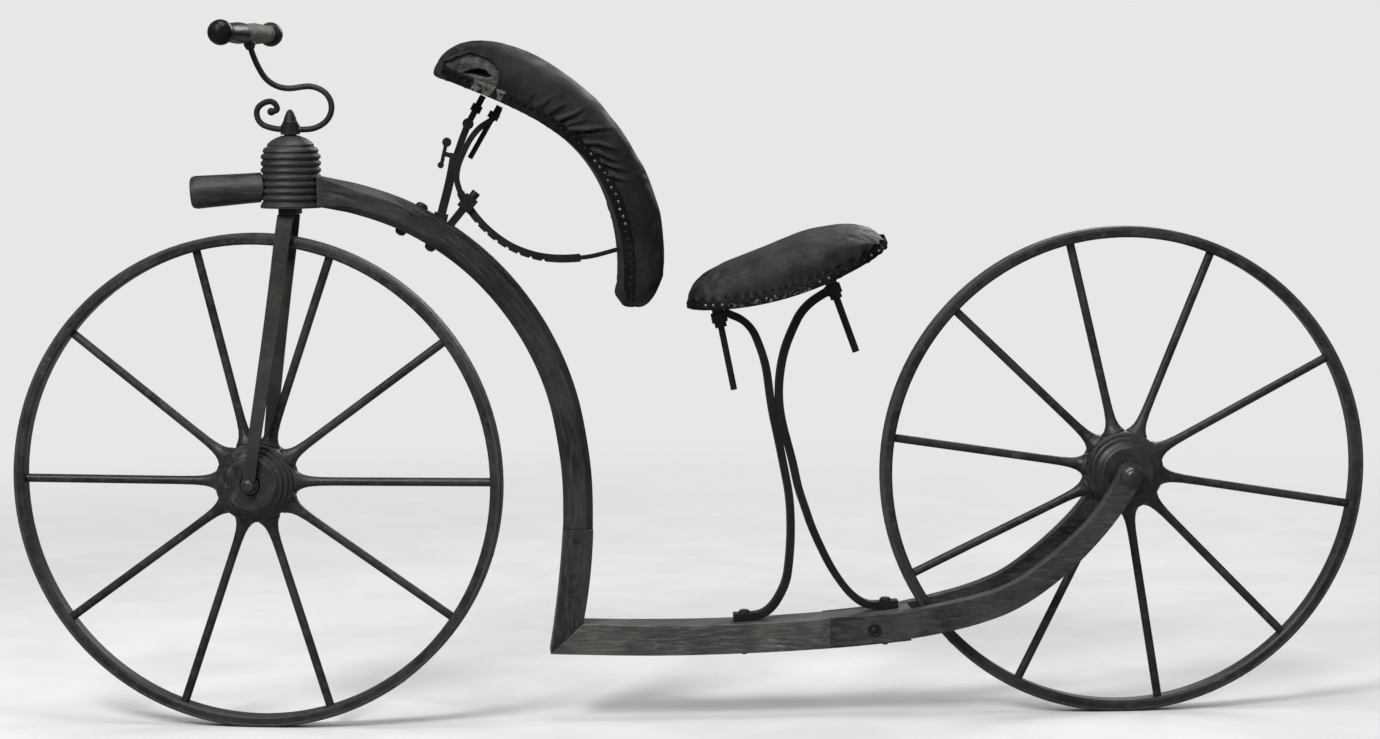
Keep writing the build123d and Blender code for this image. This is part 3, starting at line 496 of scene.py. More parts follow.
class Shader:
    """One material under construction, with short ways to add its nodes."""

    def __init__(self, name: str) -> None:
        """Start an empty principled material of this name.

        Args:
            name: Name of the material.
        """
        self.material = bpy.data.materials.new(name)
        self.material.use_nodes = True
        self.tree = self.material.node_tree
        self.surface = self.tree.nodes["Principled BSDF"]
        self.place = self.add("ShaderNodeTexCoord", {}).outputs["Object"]

    def put(self, socket: Socket, value: object) -> None:
        """Link a socket to another one, or set it to a constant."""
        if isinstance(value, Socket):
            self.tree.links.new(value, socket)
        else:
            socket.default_value = value

    def add(self, kind: str, inputs: dict[str | int, object], **settings: object) -> bpy.types.Node:
        """Add a node with its plain settings and its inputs, linked or constant.

        Args:
            kind: Type of the node.
            inputs: Value or socket for each input.
            settings: Plain settings of the node.

        Returns:
            The node.
        """
        node = self.tree.nodes.new(kind)
        for key, value in settings.items():
            setattr(node, key, value)
        for key, value in inputs.items():
            self.put(node.inputs[key], value)
        return node

    def mapped(self, scale: Sequence[float], turn: Sequence[float] = (0, 0, 0),
               source: object = None) -> Socket:
        """Coordinates, by default the piece's own, turned in radians and then scaled."""
        inputs = {"Vector": source or self.place, "Scale": scale, "Rotation": turn}
        return self.add("ShaderNodeMapping", inputs).outputs["Vector"]

    def cloud(self, scale: float, detail: float = 4.0, rough: float = 0.55, source: object = None,
              warp: float = 0.0) -> Socket:
        """Soft noise from 0 to 1.

        Args:
            scale: Waves to a metre.
            detail: Octaves.
            rough: Share of the fine octaves.
            source: Coordinates, or None for the piece's own.
            warp: How far the noise distorts itself.

        Returns:
            The noise value.
        """
        inputs = {"Vector": source or self.place, "Scale": scale, "Detail": detail, "Roughness": rough,
                  "Distortion": warp}
        return self.add("ShaderNodeTexNoise", inputs).outputs["Fac"]

    def cells(self, scale: float, source: object = None, edges: bool = False) -> Socket:
        """Distance to scattered points, or to the borders between their cells.

        Args:
            scale: Cells to a metre.
            source: Coordinates, or None for the piece's own.
            edges: Measure to the borders of the cells.

        Returns:
            The distance.
        """
        inputs = {"Vector": source or self.place, "Scale": scale}
        feature = "DISTANCE_TO_EDGE" if edges else "F1"
        return self.add("ShaderNodeTexVoronoi", inputs, feature=feature).outputs["Distance"]

    def level(self, value: object, low: float, high: float, out_low: float = 0.0,
              out_high: float = 1.0) -> Socket:
        """Smooth step of a value between two levels.

        Args:
            value: The value or socket to grade.
            low: Level that gives out_low.
            high: Level that gives out_high.
            out_low: Result below the step.
            out_high: Result above the step.

        Returns:
            The graded value.
        """
        inputs = {"Value": value, "From Min": low, "From Max": high, "To Min": out_low, "To Max": out_high}
        return self.add("ShaderNodeMapRange", inputs, interpolation_type="SMOOTHSTEP").outputs["Result"]

    def sum(self, operation: str, first: object, second: object = 0.0, clamp: bool = False) -> Socket:
        """Arithmetic on one or two values."""
        inputs = {0: first, 1: second}
        return self.add("ShaderNodeMath", inputs, operation=operation, use_clamp=clamp).outputs["Value"]

    def times(self, first: object, second: object) -> Socket:
        """Product of two values."""
        return self.sum("MULTIPLY", first, second)

    def blend(self, share: object, first: object, second: object, way: str = "MIX") -> Socket:
        """Mix of two colours, with this share of the second one."""
        inputs = {0: share, 6: first, 7: second}
        return self.add("ShaderNodeMix", inputs, data_type="RGBA", blend_type=way).outputs[2]

    def split(self, vector: object = None) -> tuple[Socket, ...]:
        """X, Y and Z of a vector, or of the piece's own coordinates."""
        return tuple(self.add("ShaderNodeSeparateXYZ", {0: vector or self.place}).outputs)

    def round_bend(self, centre: Sequence[float], radius: float) -> Socket:
        """Coordinates along a bend round this x and z, across it and out from its centre.

        Args:
            centre: X and z of the bend's centre.
            radius: Radius of the bend.

        Returns:
            The coordinates.
        """
        x, y, z = self.split()
        x, z = self.sum("SUBTRACT", x, centre[0]), self.sum("SUBTRACT", z, centre[1])
        along = self.times(self.sum("ARCTAN2", z, x), radius)
        out = self.sum("SQRT", self.sum("ADD", self.times(x, x), self.times(z, z)))
        return self.add("ShaderNodeCombineXYZ", {0: along, 1: y, 2: out}).outputs[0]

    def mark(self, name: str) -> Socket:
        """Value kept at the piece's points, 0 where there is none."""
        return self.add("ShaderNodeAttribute", {}, attribute_name=name).outputs["Fac"]

    def rounded(self, radius: float) -> Socket:
        """Normals rounded over sharp edges."""
        return self.add("ShaderNodeBevel", {"Radius": radius}, samples=4).outputs["Normal"]

    def edges(self, radius: float) -> Socket:
        """Mask of sharp edges, 1 on the edge and 0 on open faces.

        Args:
            radius: Reach of the mask from the edge.

        Returns:
            The mask.
        """
        flat = self.add("ShaderNodeNewGeometry", {}).outputs["Normal"]
        node = self.add("ShaderNodeVectorMath", {0: self.rounded(radius), 1: flat}, operation="DOT_PRODUCT")
        return self.level(node.outputs["Value"], 0.995, 0.80)

    def crevice_shade(self, reach: float) -> Socket:
        """Mask of painted shade in corners and hollows, 1 where little light gets in."""
        node = self.add("ShaderNodeAmbientOcclusion", {"Distance": reach}, samples=4)
        return self.level(node.outputs["AO"], 0.75, 0.25)

    def bump(self, height: object, depth: float, normal: object = None) -> Socket:
        """Relief of a height from 0 to 1 with this real depth, over the plain or a given normal.

        Args:
            height: The height.
            depth: Its depth in metres.
            normal: Normal that it stands on, or None.

        Returns:
            The shading normal.
        """
        inputs = {"Strength": 1.0, "Distance": depth, "Height": height}
        if normal is not None:
            inputs["Normal"] = normal
        return self.add("ShaderNodeBump", inputs).outputs["Normal"]

    def done(self, colour: object, rough: object, normal: object, specular: float,
             metal: float = 0.0) -> Material:
        """Connect the surface.

        Args:
            colour: Base colour.
            rough: Roughness.
            normal: Shading normal.
            specular: Specular level.
            metal: Metallic share.

        Returns:
            The finished material.
        """
        for name, value in (("Base Color", colour), ("Roughness", rough), ("Normal", normal)):
            self.put(self.surface.inputs[name], value)
        self.surface.inputs["Metallic"].default_value = metal
        self.surface.inputs["Specular IOR Level"].default_value = specular
        return self.material


@dataclass(frozen=True)
class PaintedWood:
    """Old dark paint and varnish over wood, rubbed through along its edges."""

    name: str
    stretch: tuple[float, float, float] = (1.0, 6.0, 6.0)
    paint: float = 0.030
    shade: float = 0.011
    bare: float = 0.105
    wear: float = 0.50
    bend: tuple[float, float, float] | None = None

    @cache
    def material(self) -> Material:
        """Build the finish: paint, streaks of grain, pits, worn edges and painted shade in corners.

        Returns:
            The material.
        """
        shader = Shader(self.name)
        source = shader.round_bend(self.bend[:2], self.bend[2]) if self.bend else None
        along = shader.mapped(self.stretch, source=source)
        streaks = shader.cloud(38, 6, 0.65, along, 0.4)
        fine = shader.cloud(150, 5, 0.7, along)
        patches = shader.cloud(9, 4, 0.6)
        colour = shader.blend(shader.level(patches, 0.38, 0.60), grey(self.paint), grey(self.shade))
        colour = shader.blend(shader.level(streaks, 0.42, 0.78), colour, grey(self.paint * 1.7, 0.09))
        rub = shader.times(shader.edges(0.0028), shader.level(shader.cloud(26, 5, 0.7), 0.36, 0.62))
        scuff = shader.level(shader.cloud(13, 6, 0.72), 0.57, 0.70)
        scuff = shader.times(scuff, shader.level(streaks, 0.40, 0.62))
        bare = shader.times(shader.sum("ADD", rub, scuff, True), self.wear)
        colour = shader.blend(bare, colour, grey(self.bare, 0.10))
        pits = shader.level(shader.cells(210), 0.10, 0.02)
        pits = shader.times(pits, shader.level(shader.cloud(30, 3), 0.50, 0.62))
        # Painted shade: corners and hollows darken towards the shade colour, together with the real pits.
        pits_and_corner_shade = shader.sum("MAXIMUM", pits, shader.times(shader.crevice_shade(0.010), 0.8))
        colour = shader.blend(pits_and_corner_shade, colour, grey(self.shade * 0.35))
        rough = shader.level(shader.sum("ADD", streaks, shader.times(bare, 0.5)), 0.2, 1.0, 0.30, 0.62)
        height = shader.times(shader.sum("ADD", streaks, fine), 0.5)
        height = shader.sum("SUBTRACT", height, shader.times(pits, 0.8))
        normal = shader.bump(height, 0.0007, shader.rounded(0.0016))
        return shader.done(colour, rough, normal, 0.30)


@dataclass(frozen=True)
class WroughtIron:
    """Forged iron with old black paint, pits and rubbed edges."""

    name: str
    tone: float = 0.014
    rust: float = 0.022
    shine: float = 0.085
    wear: float = 0.7
    rough_low: float = 0.36
    rough_high: float = 0.66
    metal: float = 0.30

    @cache
    def material(self) -> Material:
        """Build the finish: hammered skin, dull rust, pits, brighter edges and painted shade in corners.

        Returns:
            The material.
        """
        shader = Shader(self.name)
        patches = shader.cloud(22, 5, 0.62, None, 0.3)
        grit = shader.cloud(420, 4, 0.65)
        rusty = shader.level(patches, 0.42, 0.62)
        colour = shader.blend(rusty, grey(self.tone, 0.02), grey(self.rust, 0.14))
        rub = shader.times(shader.edges(0.0018), shader.level(shader.cloud(48, 5, 0.7), 0.36, 0.60))
        colour = shader.blend(shader.times(rub, self.wear), colour, grey(self.shine, 0.03))
        # Painted shade: corners and hollows of the iron are darkened.
        colour = shader.blend(shader.times(shader.crevice_shade(0.006), 0.8), colour, grey(self.tone * 0.3))
        pits = shader.level(shader.cells(360), 0.16, 0.04)
        pits = shader.times(pits, shader.level(patches, 0.46, 0.60))
        height = shader.sum("SUBTRACT", shader.times(grit, 0.4), pits)
        height = shader.sum("ADD", height, shader.cloud(70, 3, 0.5))
        rough = shader.level(grit, 0.3, 0.7, self.rough_low, self.rough_high)
        normal = shader.bump(height, 0.0004, shader.rounded(0.0010))
        return shader.done(colour, rough, normal, 0.30, self.metal)


@dataclass(frozen=True)
class OldLeather:
    """Dark hide with a fine grain, creases and dull scuffs, and bare lining where it is torn away."""

    name: str
    tone: float = 0.010
    worn: float = 0.026
    grain: float = 520.0
    lining: float = 0.095
    gloss: float = 0.22

    @cache
    def material(self) -> Material:
        """Build the finish: pebbled grain, fine cracks, worn high places, painted shade in fold hollows and
        corners, and torn lining.

        Returns:
            The material.
        """
        shader = Shader(self.name)
        patches = shader.cloud(11, 5, 0.6, None, 0.5)
        pebbles = shader.cells(self.grain, None, True)
        cracks = shader.level(shader.cells(260, shader.mapped((1, 1.5, 1)), True), 0.030, 0.0)
        cracks = shader.times(cracks, shader.level(shader.cloud(34, 4, 0.6), 0.50, 0.64))
        faded = shader.level(patches, 0.36, 0.66)
        colour = shader.blend(faded, grey(self.tone, 0.08), grey(self.worn, 0.10))
        scuff = shader.level(shader.cloud(75, 6, 0.75, None, 0.6), 0.58, 0.74, 0.0, 0.45)
        colour = shader.blend(scuff, colour, grey(self.worn * 1.6, 0.10))
        fold = shader.mark("fold")
        colour = shader.blend(shader.level(fold, 0.10, 0.75, 0.0, 0.8), colour, grey(self.worn * 1.9, 0.06))
        # Painted shade: fold hollows and corners are darkened, together with the real cracks.
        dark = shader.sum("MAXIMUM", shader.times(cracks, 0.7), shader.level(fold, -0.05, -0.6, 0.0, 0.9))
        dark = shader.sum("MAXIMUM", dark, shader.times(shader.crevice_shade(0.012), 0.85))
        colour = shader.blend(dark, colour, grey(self.tone * 0.25))
        torn = shader.mark("torn")
        weave = shader.cloud(700, 3, 0.6, shader.mapped((1, 1, 0.35), (0, 0.6, 0)))
        stain = shader.level(shader.cloud(90, 5, 0.7, None, 0.4), 0.36, 0.64)
        cloth = shader.blend(stain, grey(self.lining * 0.35, 0.07), grey(self.lining, 0.07))
        cloth = shader.blend(shader.level(weave, 0.35, 0.6, 0.45, 0.0), cloth, grey(self.lining * 0.25, 0.1))
        colour = shader.blend(shader.level(torn, 0.42, 0.58), colour, cloth)
        rim = shader.times(shader.level(torn, 0.10, 0.42), shader.level(torn, 0.62, 0.46))
        colour = shader.blend(shader.times(rim, 0.75), colour, grey(self.tone * 0.3))
        # Painted shade: the deep hole in the lining is painted near black.
        colour = shader.blend(shader.level(torn, 1.35, 1.65), colour, grey(0.0035))
        rough = shader.level(shader.cloud(40, 4), 0.3, 0.7, 0.40, 0.62)
        rough = shader.sum("ADD", rough, shader.level(torn, 0.4, 0.6, 0.0, 0.3))
        height = shader.sum("SUBTRACT", shader.times(shader.level(pebbles, 0.0, 0.25), 0.35), cracks)
        height = shader.sum("ADD", height, shader.cloud(130, 4, 0.6))
        return shader.done(colour, rough, shader.bump(height, 0.00055), self.gloss)


@dataclass(frozen=True)
class GripWood:
    """Turned grip: pale worn wood on the right half, dark paint on the left half and on the balls."""

    name: str
    centre: tuple[float, float, float]
    band_low: float = -0.030
    paint: float = 0.006
    wood: float = 0.13

    @cache
    def material(self) -> Material:
        """Build the finish with the paint's limits measured along the grip.

        Returns:
            The material.
        """
        shader = Shader(self.name)
        _, y, _ = shader.split(shader.mapped((1, 1, 1), (0, 0, -REST_STEER)))
        ragged = shader.times(shader.sum("SUBTRACT", shader.cloud(120, 5, 0.7), 0.5), 0.006)
        place = shader.sum("ADD", shader.sum("SUBTRACT", y, self.centre[1]), ragged)
        middle = shader.level(place, self.band_low - 0.001, self.band_low + 0.001)
        ball = shader.level(place, 0.117, 0.120)
        neck = shader.times(shader.level(place, -0.127, -0.1255), shader.level(place, -0.1165, -0.118))
        bare = shader.sum("MAXIMUM", shader.sum("SUBTRACT", middle, ball, True), neck)
        grain = shader.cloud(60, 6, 0.65, shader.mapped((4, 0.5, 4)))
        streaks = shader.level(grain, 0.35, 0.65)
        wood = shader.blend(streaks, grey(self.wood, 0.16), grey(self.wood * 0.55, 0.16))
        spotty = shader.level(shader.cloud(40, 5, 0.6), 0.5, 0.68)
        dark = shader.blend(spotty, grey(self.paint), grey(self.paint * 2.4))
        dark = shader.blend(ball, dark, grey(self.paint * 2.6))
        colour = shader.blend(bare, dark, wood)
        rough = shader.sum("ADD", 0.30, shader.times(bare, 0.28))
        normal = shader.bump(shader.times(grain, bare), 0.0003, shader.rounded(0.0008))
        return shader.done(colour, rough, normal, 0.16)


Finish = PaintedWood | WroughtIron | OldLeather | GripWood

ALONG_X = PaintedWood("dark_wood_along_x")
WORN_PLANK = PaintedWood("worn_plank", (0.8, 6.0, 7.0), paint=0.084, shade=0.046, bare=0.27, wear=0.85)
ARM_WOOD = PaintedWood("arm_wood", paint=0.044, shade=0.017, bare=0.17, wear=0.65)
# Boards under the cushions: dark paint, darkened further as painted shade.
SHADED_BOARD = PaintedWood("board_wood_shaded", paint=0.006, shade=0.003, bare=0.016, wear=0.3)
BENT = PaintedWood("dark_wood_bent", (0.7, 7.0, 7.0), bend=(-0.7584, -0.3686, 0.433))
ALONG_Z = PaintedWood("dark_wood_along_z", (6.0, 6.0, 1.0))
TURNED = PaintedWood("dark_wood_turned", (1.0, 1.0, 9.0), wear=0.45, paint=0.028)
WHEEL_WOOD = PaintedWood("wheel_wood", (2.0, 3.0, 2.0), wear=0.45, paint=0.026, shade=0.011)
FORGED = WroughtIron("black_iron")
FORK_IRON = WroughtIron("fork_iron", tone=0.026, rust=0.036, shine=0.13)
STAY_IRON = WroughtIron("stay_iron", tone=0.010, rust=0.015, shine=0.06)
TYRE = WroughtIron("tyre_iron", 0.066, 0.042, 0.20, rough_low=0.42, rough_high=0.7, metal=0.5)
BRIGHT = WroughtIron("bright_iron", 0.09, 0.05, 0.32, rough_low=0.26, rough_high=0.5, metal=0.8)
LEATHER = OldLeather("old_leather")
REST_LEATHER = OldLeather("old_leather_rest", tone=0.006, worn=0.016, gloss=0.15)
HEM = OldLeather("old_leather_hem", tone=0.004, worn=0.009, lining=0.15, gloss=0.08)
TACK = WroughtIron("tack_iron", 0.20, 0.09, 0.5, rough_low=0.28, rough_high=0.5, metal=0.6)
DULL_TACK = WroughtIron("dull_tack_iron", tone=0.012, rust=0.010, shine=0.05)


def dress(piece: Piece, body: Body, finish: Finish) -> None:
    """Give a finished new piece its material and body, and report it.

    Args:
        piece: The piece, with its place in its mesh.
        body: The body that it rides on.
        finish: Its finish.
    """
    piece.data.materials.clear()
    piece.data.materials.append(finish.material())
    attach(piece, body.value)
    log.info("piece %s: %d faces on %s", piece.name, len(piece.data.polygons), body.value)


def paint(finish: Finish, *nodes: str) -> None:
    """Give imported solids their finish."""
    for node in nodes:
        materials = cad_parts[node].data.materials
        materials.clear()
        materials.append(finish.material())
        log.info("solid %s: %s", node, finish.name)


@dataclass(frozen=True)
class Stud:
    """Small turned piece that is set in many places: nail, tack, plug, screw, hoop or collar."""

    profile: Spots
    steps: int
    finish: Finish
    slot: Slot = Slot.BLACK_IRON
    angle: float = TRIM_ANGLE

    def drive(self, name: str, places: Sequence[Matrix], body: Body = Body.FRAME) -> None:
        """Copy the piece to every place, and join and dress the copies.

        Args:
            name: Name of the joined piece.
            places: One placement for each copy.
            body: The body that the piece rides on.
        """
        joined = strew(turned(self.profile, self.steps), places, name)
        smooth(joined, self.angle)
        dress(joined, body, self.finish)


# Sub-assemblies


@dataclass
class Wheel:
    """One carriage wheel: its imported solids, the nails of its tyre and the hoops of its nave."""

    prefix: str
    body: Body
    centre: tuple[float, float, float]
    spokes: tuple[float, ...]
    turn: float = 0.0
    radius: float = 0.3555
    nail: float = 0.0042
    nail_side: float = 0.005
    hoop: float = 0.0504
    hoop_inner: float = 0.0470
    hoop_half: float = 0.0013
    hoop_side: float = 0.0238

    def middle(self) -> Matrix:
        """Placement of the wheel's centre, turned as the wheel stands."""
        return Matrix.Translation(self.centre) @ Matrix.Rotation(self.turn, 4, "Z")

    def nails(self) -> None:
        """Flat nail heads round the tread, one between each pair of spokes."""
        places = []
        after = self.spokes[1:] + (self.spokes[0] + 360,)
        for i, (first, second) in enumerate(zip(self.spokes, after)):
            angle = math.radians((first + second) / 2)
            way = Vector((math.cos(angle), 0, math.sin(angle)))
            side = self.nail_side if i % 2 else -self.nail_side
            places.append(self.middle() @ aim(way * self.radius + Vector((0, side, 0)), way))
        profile = ((self.nail, -0.002), (self.nail, 0.0001), (self.nail * 0.8, 0.0004))
        nail = Stud(profile, 12, FORGED, Slot.TYRE_IRON, NAIL_ANGLE)
        nail.drive(self.prefix + "_tyre_nails", places, self.body)

    def hoops(self) -> None:
        """Iron hoops shrunk on the stepped ends of the nave."""
        inner, outer, half = self.hoop_inner, self.hoop, self.hoop_half
        profile = ((inner, -half), (outer - 0.0004, -half), (outer, -half + 0.0005), (outer, half - 0.0005),
                   (outer - 0.0004, half), (inner, half))
        middle = self.middle() @ Matrix.Rotation(math.pi / 2, 4, "X")
        places = [middle @ Matrix.Translation((0, 0, side * self.hoop_side)) for side in (-1, 1)]
        Stud(profile, 72, TYRE).drive(self.prefix + "_nave_hoops", places, self.body)

    def build(self) -> None:
        """Finish the solids and drive the nails."""
        paint(WHEEL_WOOD, *(self.prefix + part for part in ("_nave", "_spokes", "_felloe")))
        paint(TYRE, self.prefix + "_tyre")
        self.nails()


@dataclass
class Steering:
    """Fork, handle and grip."""

    def build(self) -> None:
        """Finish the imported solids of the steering."""
        paint(FORK_IRON, "left_fork_leg", "right_fork_leg")
        paint(FORGED, "fork_crown", "scroll_handle")
        paint(BRIGHT, "front_axle")
        paint(FORGED, "finial_nut")
        low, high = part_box("hand_grip")
        middle = Matrix.Rotation(-REST_STEER, 3, "Z") @ ((low + high) / 2)
        paint(GripWood("turned_wood", tuple(middle)), "hand_grip")


@dataclass
class WoodenFrame:
    """Head, perch, foot platform and rear arms."""

    def build(self) -> None:
        """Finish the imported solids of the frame."""
        paint(ALONG_X, "head_horn")
        paint(ARM_WOOD, "left_arm", "right_arm")
        paint(WORN_PLANK, "platform")
        paint(BENT, "perch")
        paint(ALONG_Z, "upright")
        paint(TURNED, "head_dome")
        paint(BRIGHT, "rear_axle", "rear_axle_nuts")
        paint(FORGED, "perch_bolts")


def over_ground(rows: Sequence[tuple[float, ...]]) -> tuple[tuple[float, ...], ...]:
    """Stations in millimetres over the ground, as places from the origin in metres."""
    return tuple(((row[0] - 160) / 1000, (row[1] - 712) / 1000) + tuple(row[2:]) for row in rows)


@dataclass
class Tacks:
    """Round-headed tacks driven into a soft surface, some of them rubbed bright."""

    name: str
    head: float = 0.0023
    high: float = 0.0013
    sunk: float = 0.0002

    def drive(self, cover: Piece, shots: Sequence[tuple[Vector, Vector, bool]]) -> None:
        """Set a tack wherever a straight line meets the cover.

        Args:
            cover: The leather that is tacked down.
            shots: Start and direction of each line, and whether the tack is bright.
        """
        tree = BVHTree.FromObject(cover, bpy.context.evaluated_depsgraph_get())
        profile = ((self.head, -0.0012), (self.head * 1.02, 0.0), (self.head * 0.80, self.high * 0.7),
                   (self.head * 0.35, self.high))
        for bright, name, finish in ((True, self.name, TACK), (False, self.name + "_dull", DULL_TACK)):
            places = []
            for i, (start, way, _) in enumerate(shot for shot in shots if shot[2] == bright):
                hit, normal, _, _ = tree.ray_cast(start, way)
                if hit is not None:
                    places.append(aim(hit - normal * self.sunk, (normal * 2 - way).normalized(), i * 0.7))
            Stud(profile, 10, finish, Slot.OLD_LEATHER, TACK_ANGLE).drive(name, places)


@dataclass
class Saddle:
    """Bent stays, screws, board and the stuffed saddle."""

    board_low: SideCurve = SideCurve(over_ground([
        (-5.0, 598.0, 0.0), (144.0, 622.0, 19.0), (277.0, 687.0, 31.0),
    ]))
    board_thick: float = 0.011
    front: float = -0.165
    rear: float = 0.117
    half: float = 0.096
    plan: Spots = (
        (0.000, 0.00), (0.012, 0.27), (0.055, 0.48), (0.130, 0.62), (0.290, 0.75), (0.510, 0.89),
        (0.690, 1.00), (0.835, 0.98), (0.935, 0.81), (0.984, 0.52), (1.000, 0.00),
    )
    rim_steps: int = 2400
    tack_pitch: float = 0.0125
    tack_height: float = 0.0072
    skirt_columns: int = 420
    skirt_rows: int = 7
    leather_thick: float = 0.0011

    def rim(self) -> np.ndarray:
        """Even points round the board, from the nose along the left side and back, as rows of x and y.

        Returns:
            One row per point.
        """
        half = np.array([(self.front + (self.rear - self.front) * a, -self.half * w) for a, w in self.plan])
        loop = np.concatenate([half, half[-2::-1] * (1, -1)])
        steps = np.linalg.norm(np.diff(loop, axis=0), axis=1)
        lengths = np.concatenate([[0.0], np.cumsum(steps)])
        spots = np.linspace(0, lengths[-1], self.rim_steps + 1)
        return np.stack([np.interp(spots, lengths, loop[:, i]) for i in (0, 1)], axis=1)

    def under(self, x: np.ndarray) -> np.ndarray:
        """Height of the board's lower face at x."""
        line = self.board_low.points()
        return np.interp(x, line[:, 0], line[:, 1])

    def cushion(self) -> None:
        """Stuffed leather seat: swollen, lumpy, drawn in along its nailed edge."""
        piece = copy_node("saddle_cushion", "saddle_leather")
        top = self.board_thick + 0.001
        stuffed(piece, lambda rows: rows[:, 2] < self.under(rows[:, 0]) + top + 0.004, 0.004)
        rows, ways = points_of(piece), points_of(piece, "normal")
        high = rows[:, 2] - self.under(rows[:, 0]) - top
        lumps = ripple(rows, 22, 1) * 0.0016 + ripple(rows, 55, 2) * 0.0006
        around = np.arctan2(rows[:, 1], rows[:, 0] + 0.02)
        gathers = np.sin(around * 52 + ripple(rows, 30, 3) * 2.2)
        gathers = gathers * np.exp(-np.clip(high, 0, 1) / 0.009) * 0.0010
        creases = np.maximum(0, ripple(rows, 34, 4) - 0.30) * -0.0020 * step(high, 0.004, 0.02)
        move = (lumps * step(high, 0.0, 0.02) + gathers + creases) - 0.0010
        place_points(piece, rows + ways * np.where(high > 0.0015, move, 0)[:, None])
        # The fold mark lightens the ridges as wear and paints shade into the hollows.
        mark(piece, "fold", np.clip(gathers / 0.001, -1, 1) * step(high, 0.03, 0.0))
        smooth(piece, SOFT_ANGLE)
        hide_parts("saddle_cushion")
        dress(piece, Body.FRAME, LEATHER)

    def skirt(self) -> Piece:
        """Frayed lower edge of the leather, turned down over the board.

        Returns:
            The skirt.
        """
        piece = grid("saddle_hem", self.skirt_columns, self.skirt_rows)
        rows = points_of(piece)
        rim = self.rim()
        spots, numbers = rows[:, 0] * self.rim_steps, np.arange(self.rim_steps + 1)
        x, y = (np.interp(spots, numbers, rim[:, i]) for i in (0, 1))
        way_x, way_y = (np.interp(spots, numbers, np.gradient(rim[:, i])) for i in (0, 1))
        size = np.hypot(way_x, way_y)
        places = np.stack([x, y, np.zeros(len(x))], axis=1)
        ragged = 0.0022 * ripple(places, 60, 5) + 0.0014 * ripple(places, 190, 6)
        low = self.under(x) + 0.0012 + ragged
        high = self.under(x) + self.board_thick + 0.0035
        flare = 0.0011 + 0.0008 * (1 - rows[:, 1]) * (1 + 1.4 * ripple(places, 110, 7))
        flare = flare - 0.0016 * rows[:, 1] ** 6
        out_x, out_y = way_y / size * flare, way_x / size * flare
        place_points(piece, np.stack([x + out_x, y - out_y, low + (high - low) * rows[:, 1]], axis=1))
        worn = step(x, -0.125, -0.105) * step(x, 0.015, -0.010) * (y < 0) * step(rows[:, 1], 0.75, 0.45)
        specks = ripple(places + (0, 0, 1) * rows[:, 1:2] * 0.02, 240, 8) + 0.5 * ripple(places, 420, 3)
        mark(piece, "torn", worn * step(specks, 0.14, 0.24))
        thicken(piece, self.leather_thick, 1)
        dress(piece, Body.FRAME, HEM)
        return piece

    def tacks(self, cover: Piece) -> None:
        """Row of tacks round the skirt.

        Args:
            cover: The skirt.
        """
        rim, last = self.rim(), self.rim_steps
        count = int(np.linalg.norm(np.diff(rim, axis=0), axis=1).sum() / self.tack_pitch)
        shots = []
        for i in range(count):
            at = int((i + 0.5) / count * last)
            way = rim[min(at + 4, last)] - rim[max(at - 4, 0)]
            out = Vector((way[1], -way[0], 0)).normalized()
            x, y = rim[at]
            start = Vector((x, y, float(self.under(x)) + self.tack_height)) + out * 0.03
            shots.append((start, -out, math.sin(i * 5.3) > 0.3))
        Tacks("saddle_tacks").drive(cover, shots)

    def build(self) -> None:
        """Finish the solids and make the cushion."""
        paint(STAY_IRON, "front_stay", "rear_stay", "saddle_screws", "saddle_nuts", "stay_bolts")
        paint(SHADED_BOARD, "saddle_board")
        self.cushion()
        self.tacks(self.skirt())


@dataclass(frozen=True)
class Fold:
    """One crease of a cushion's side: its foot and tip in x and z, its width and depth."""

    foot: tuple[float, float]
    tip: tuple[float, float]
    width: float
    depth: float


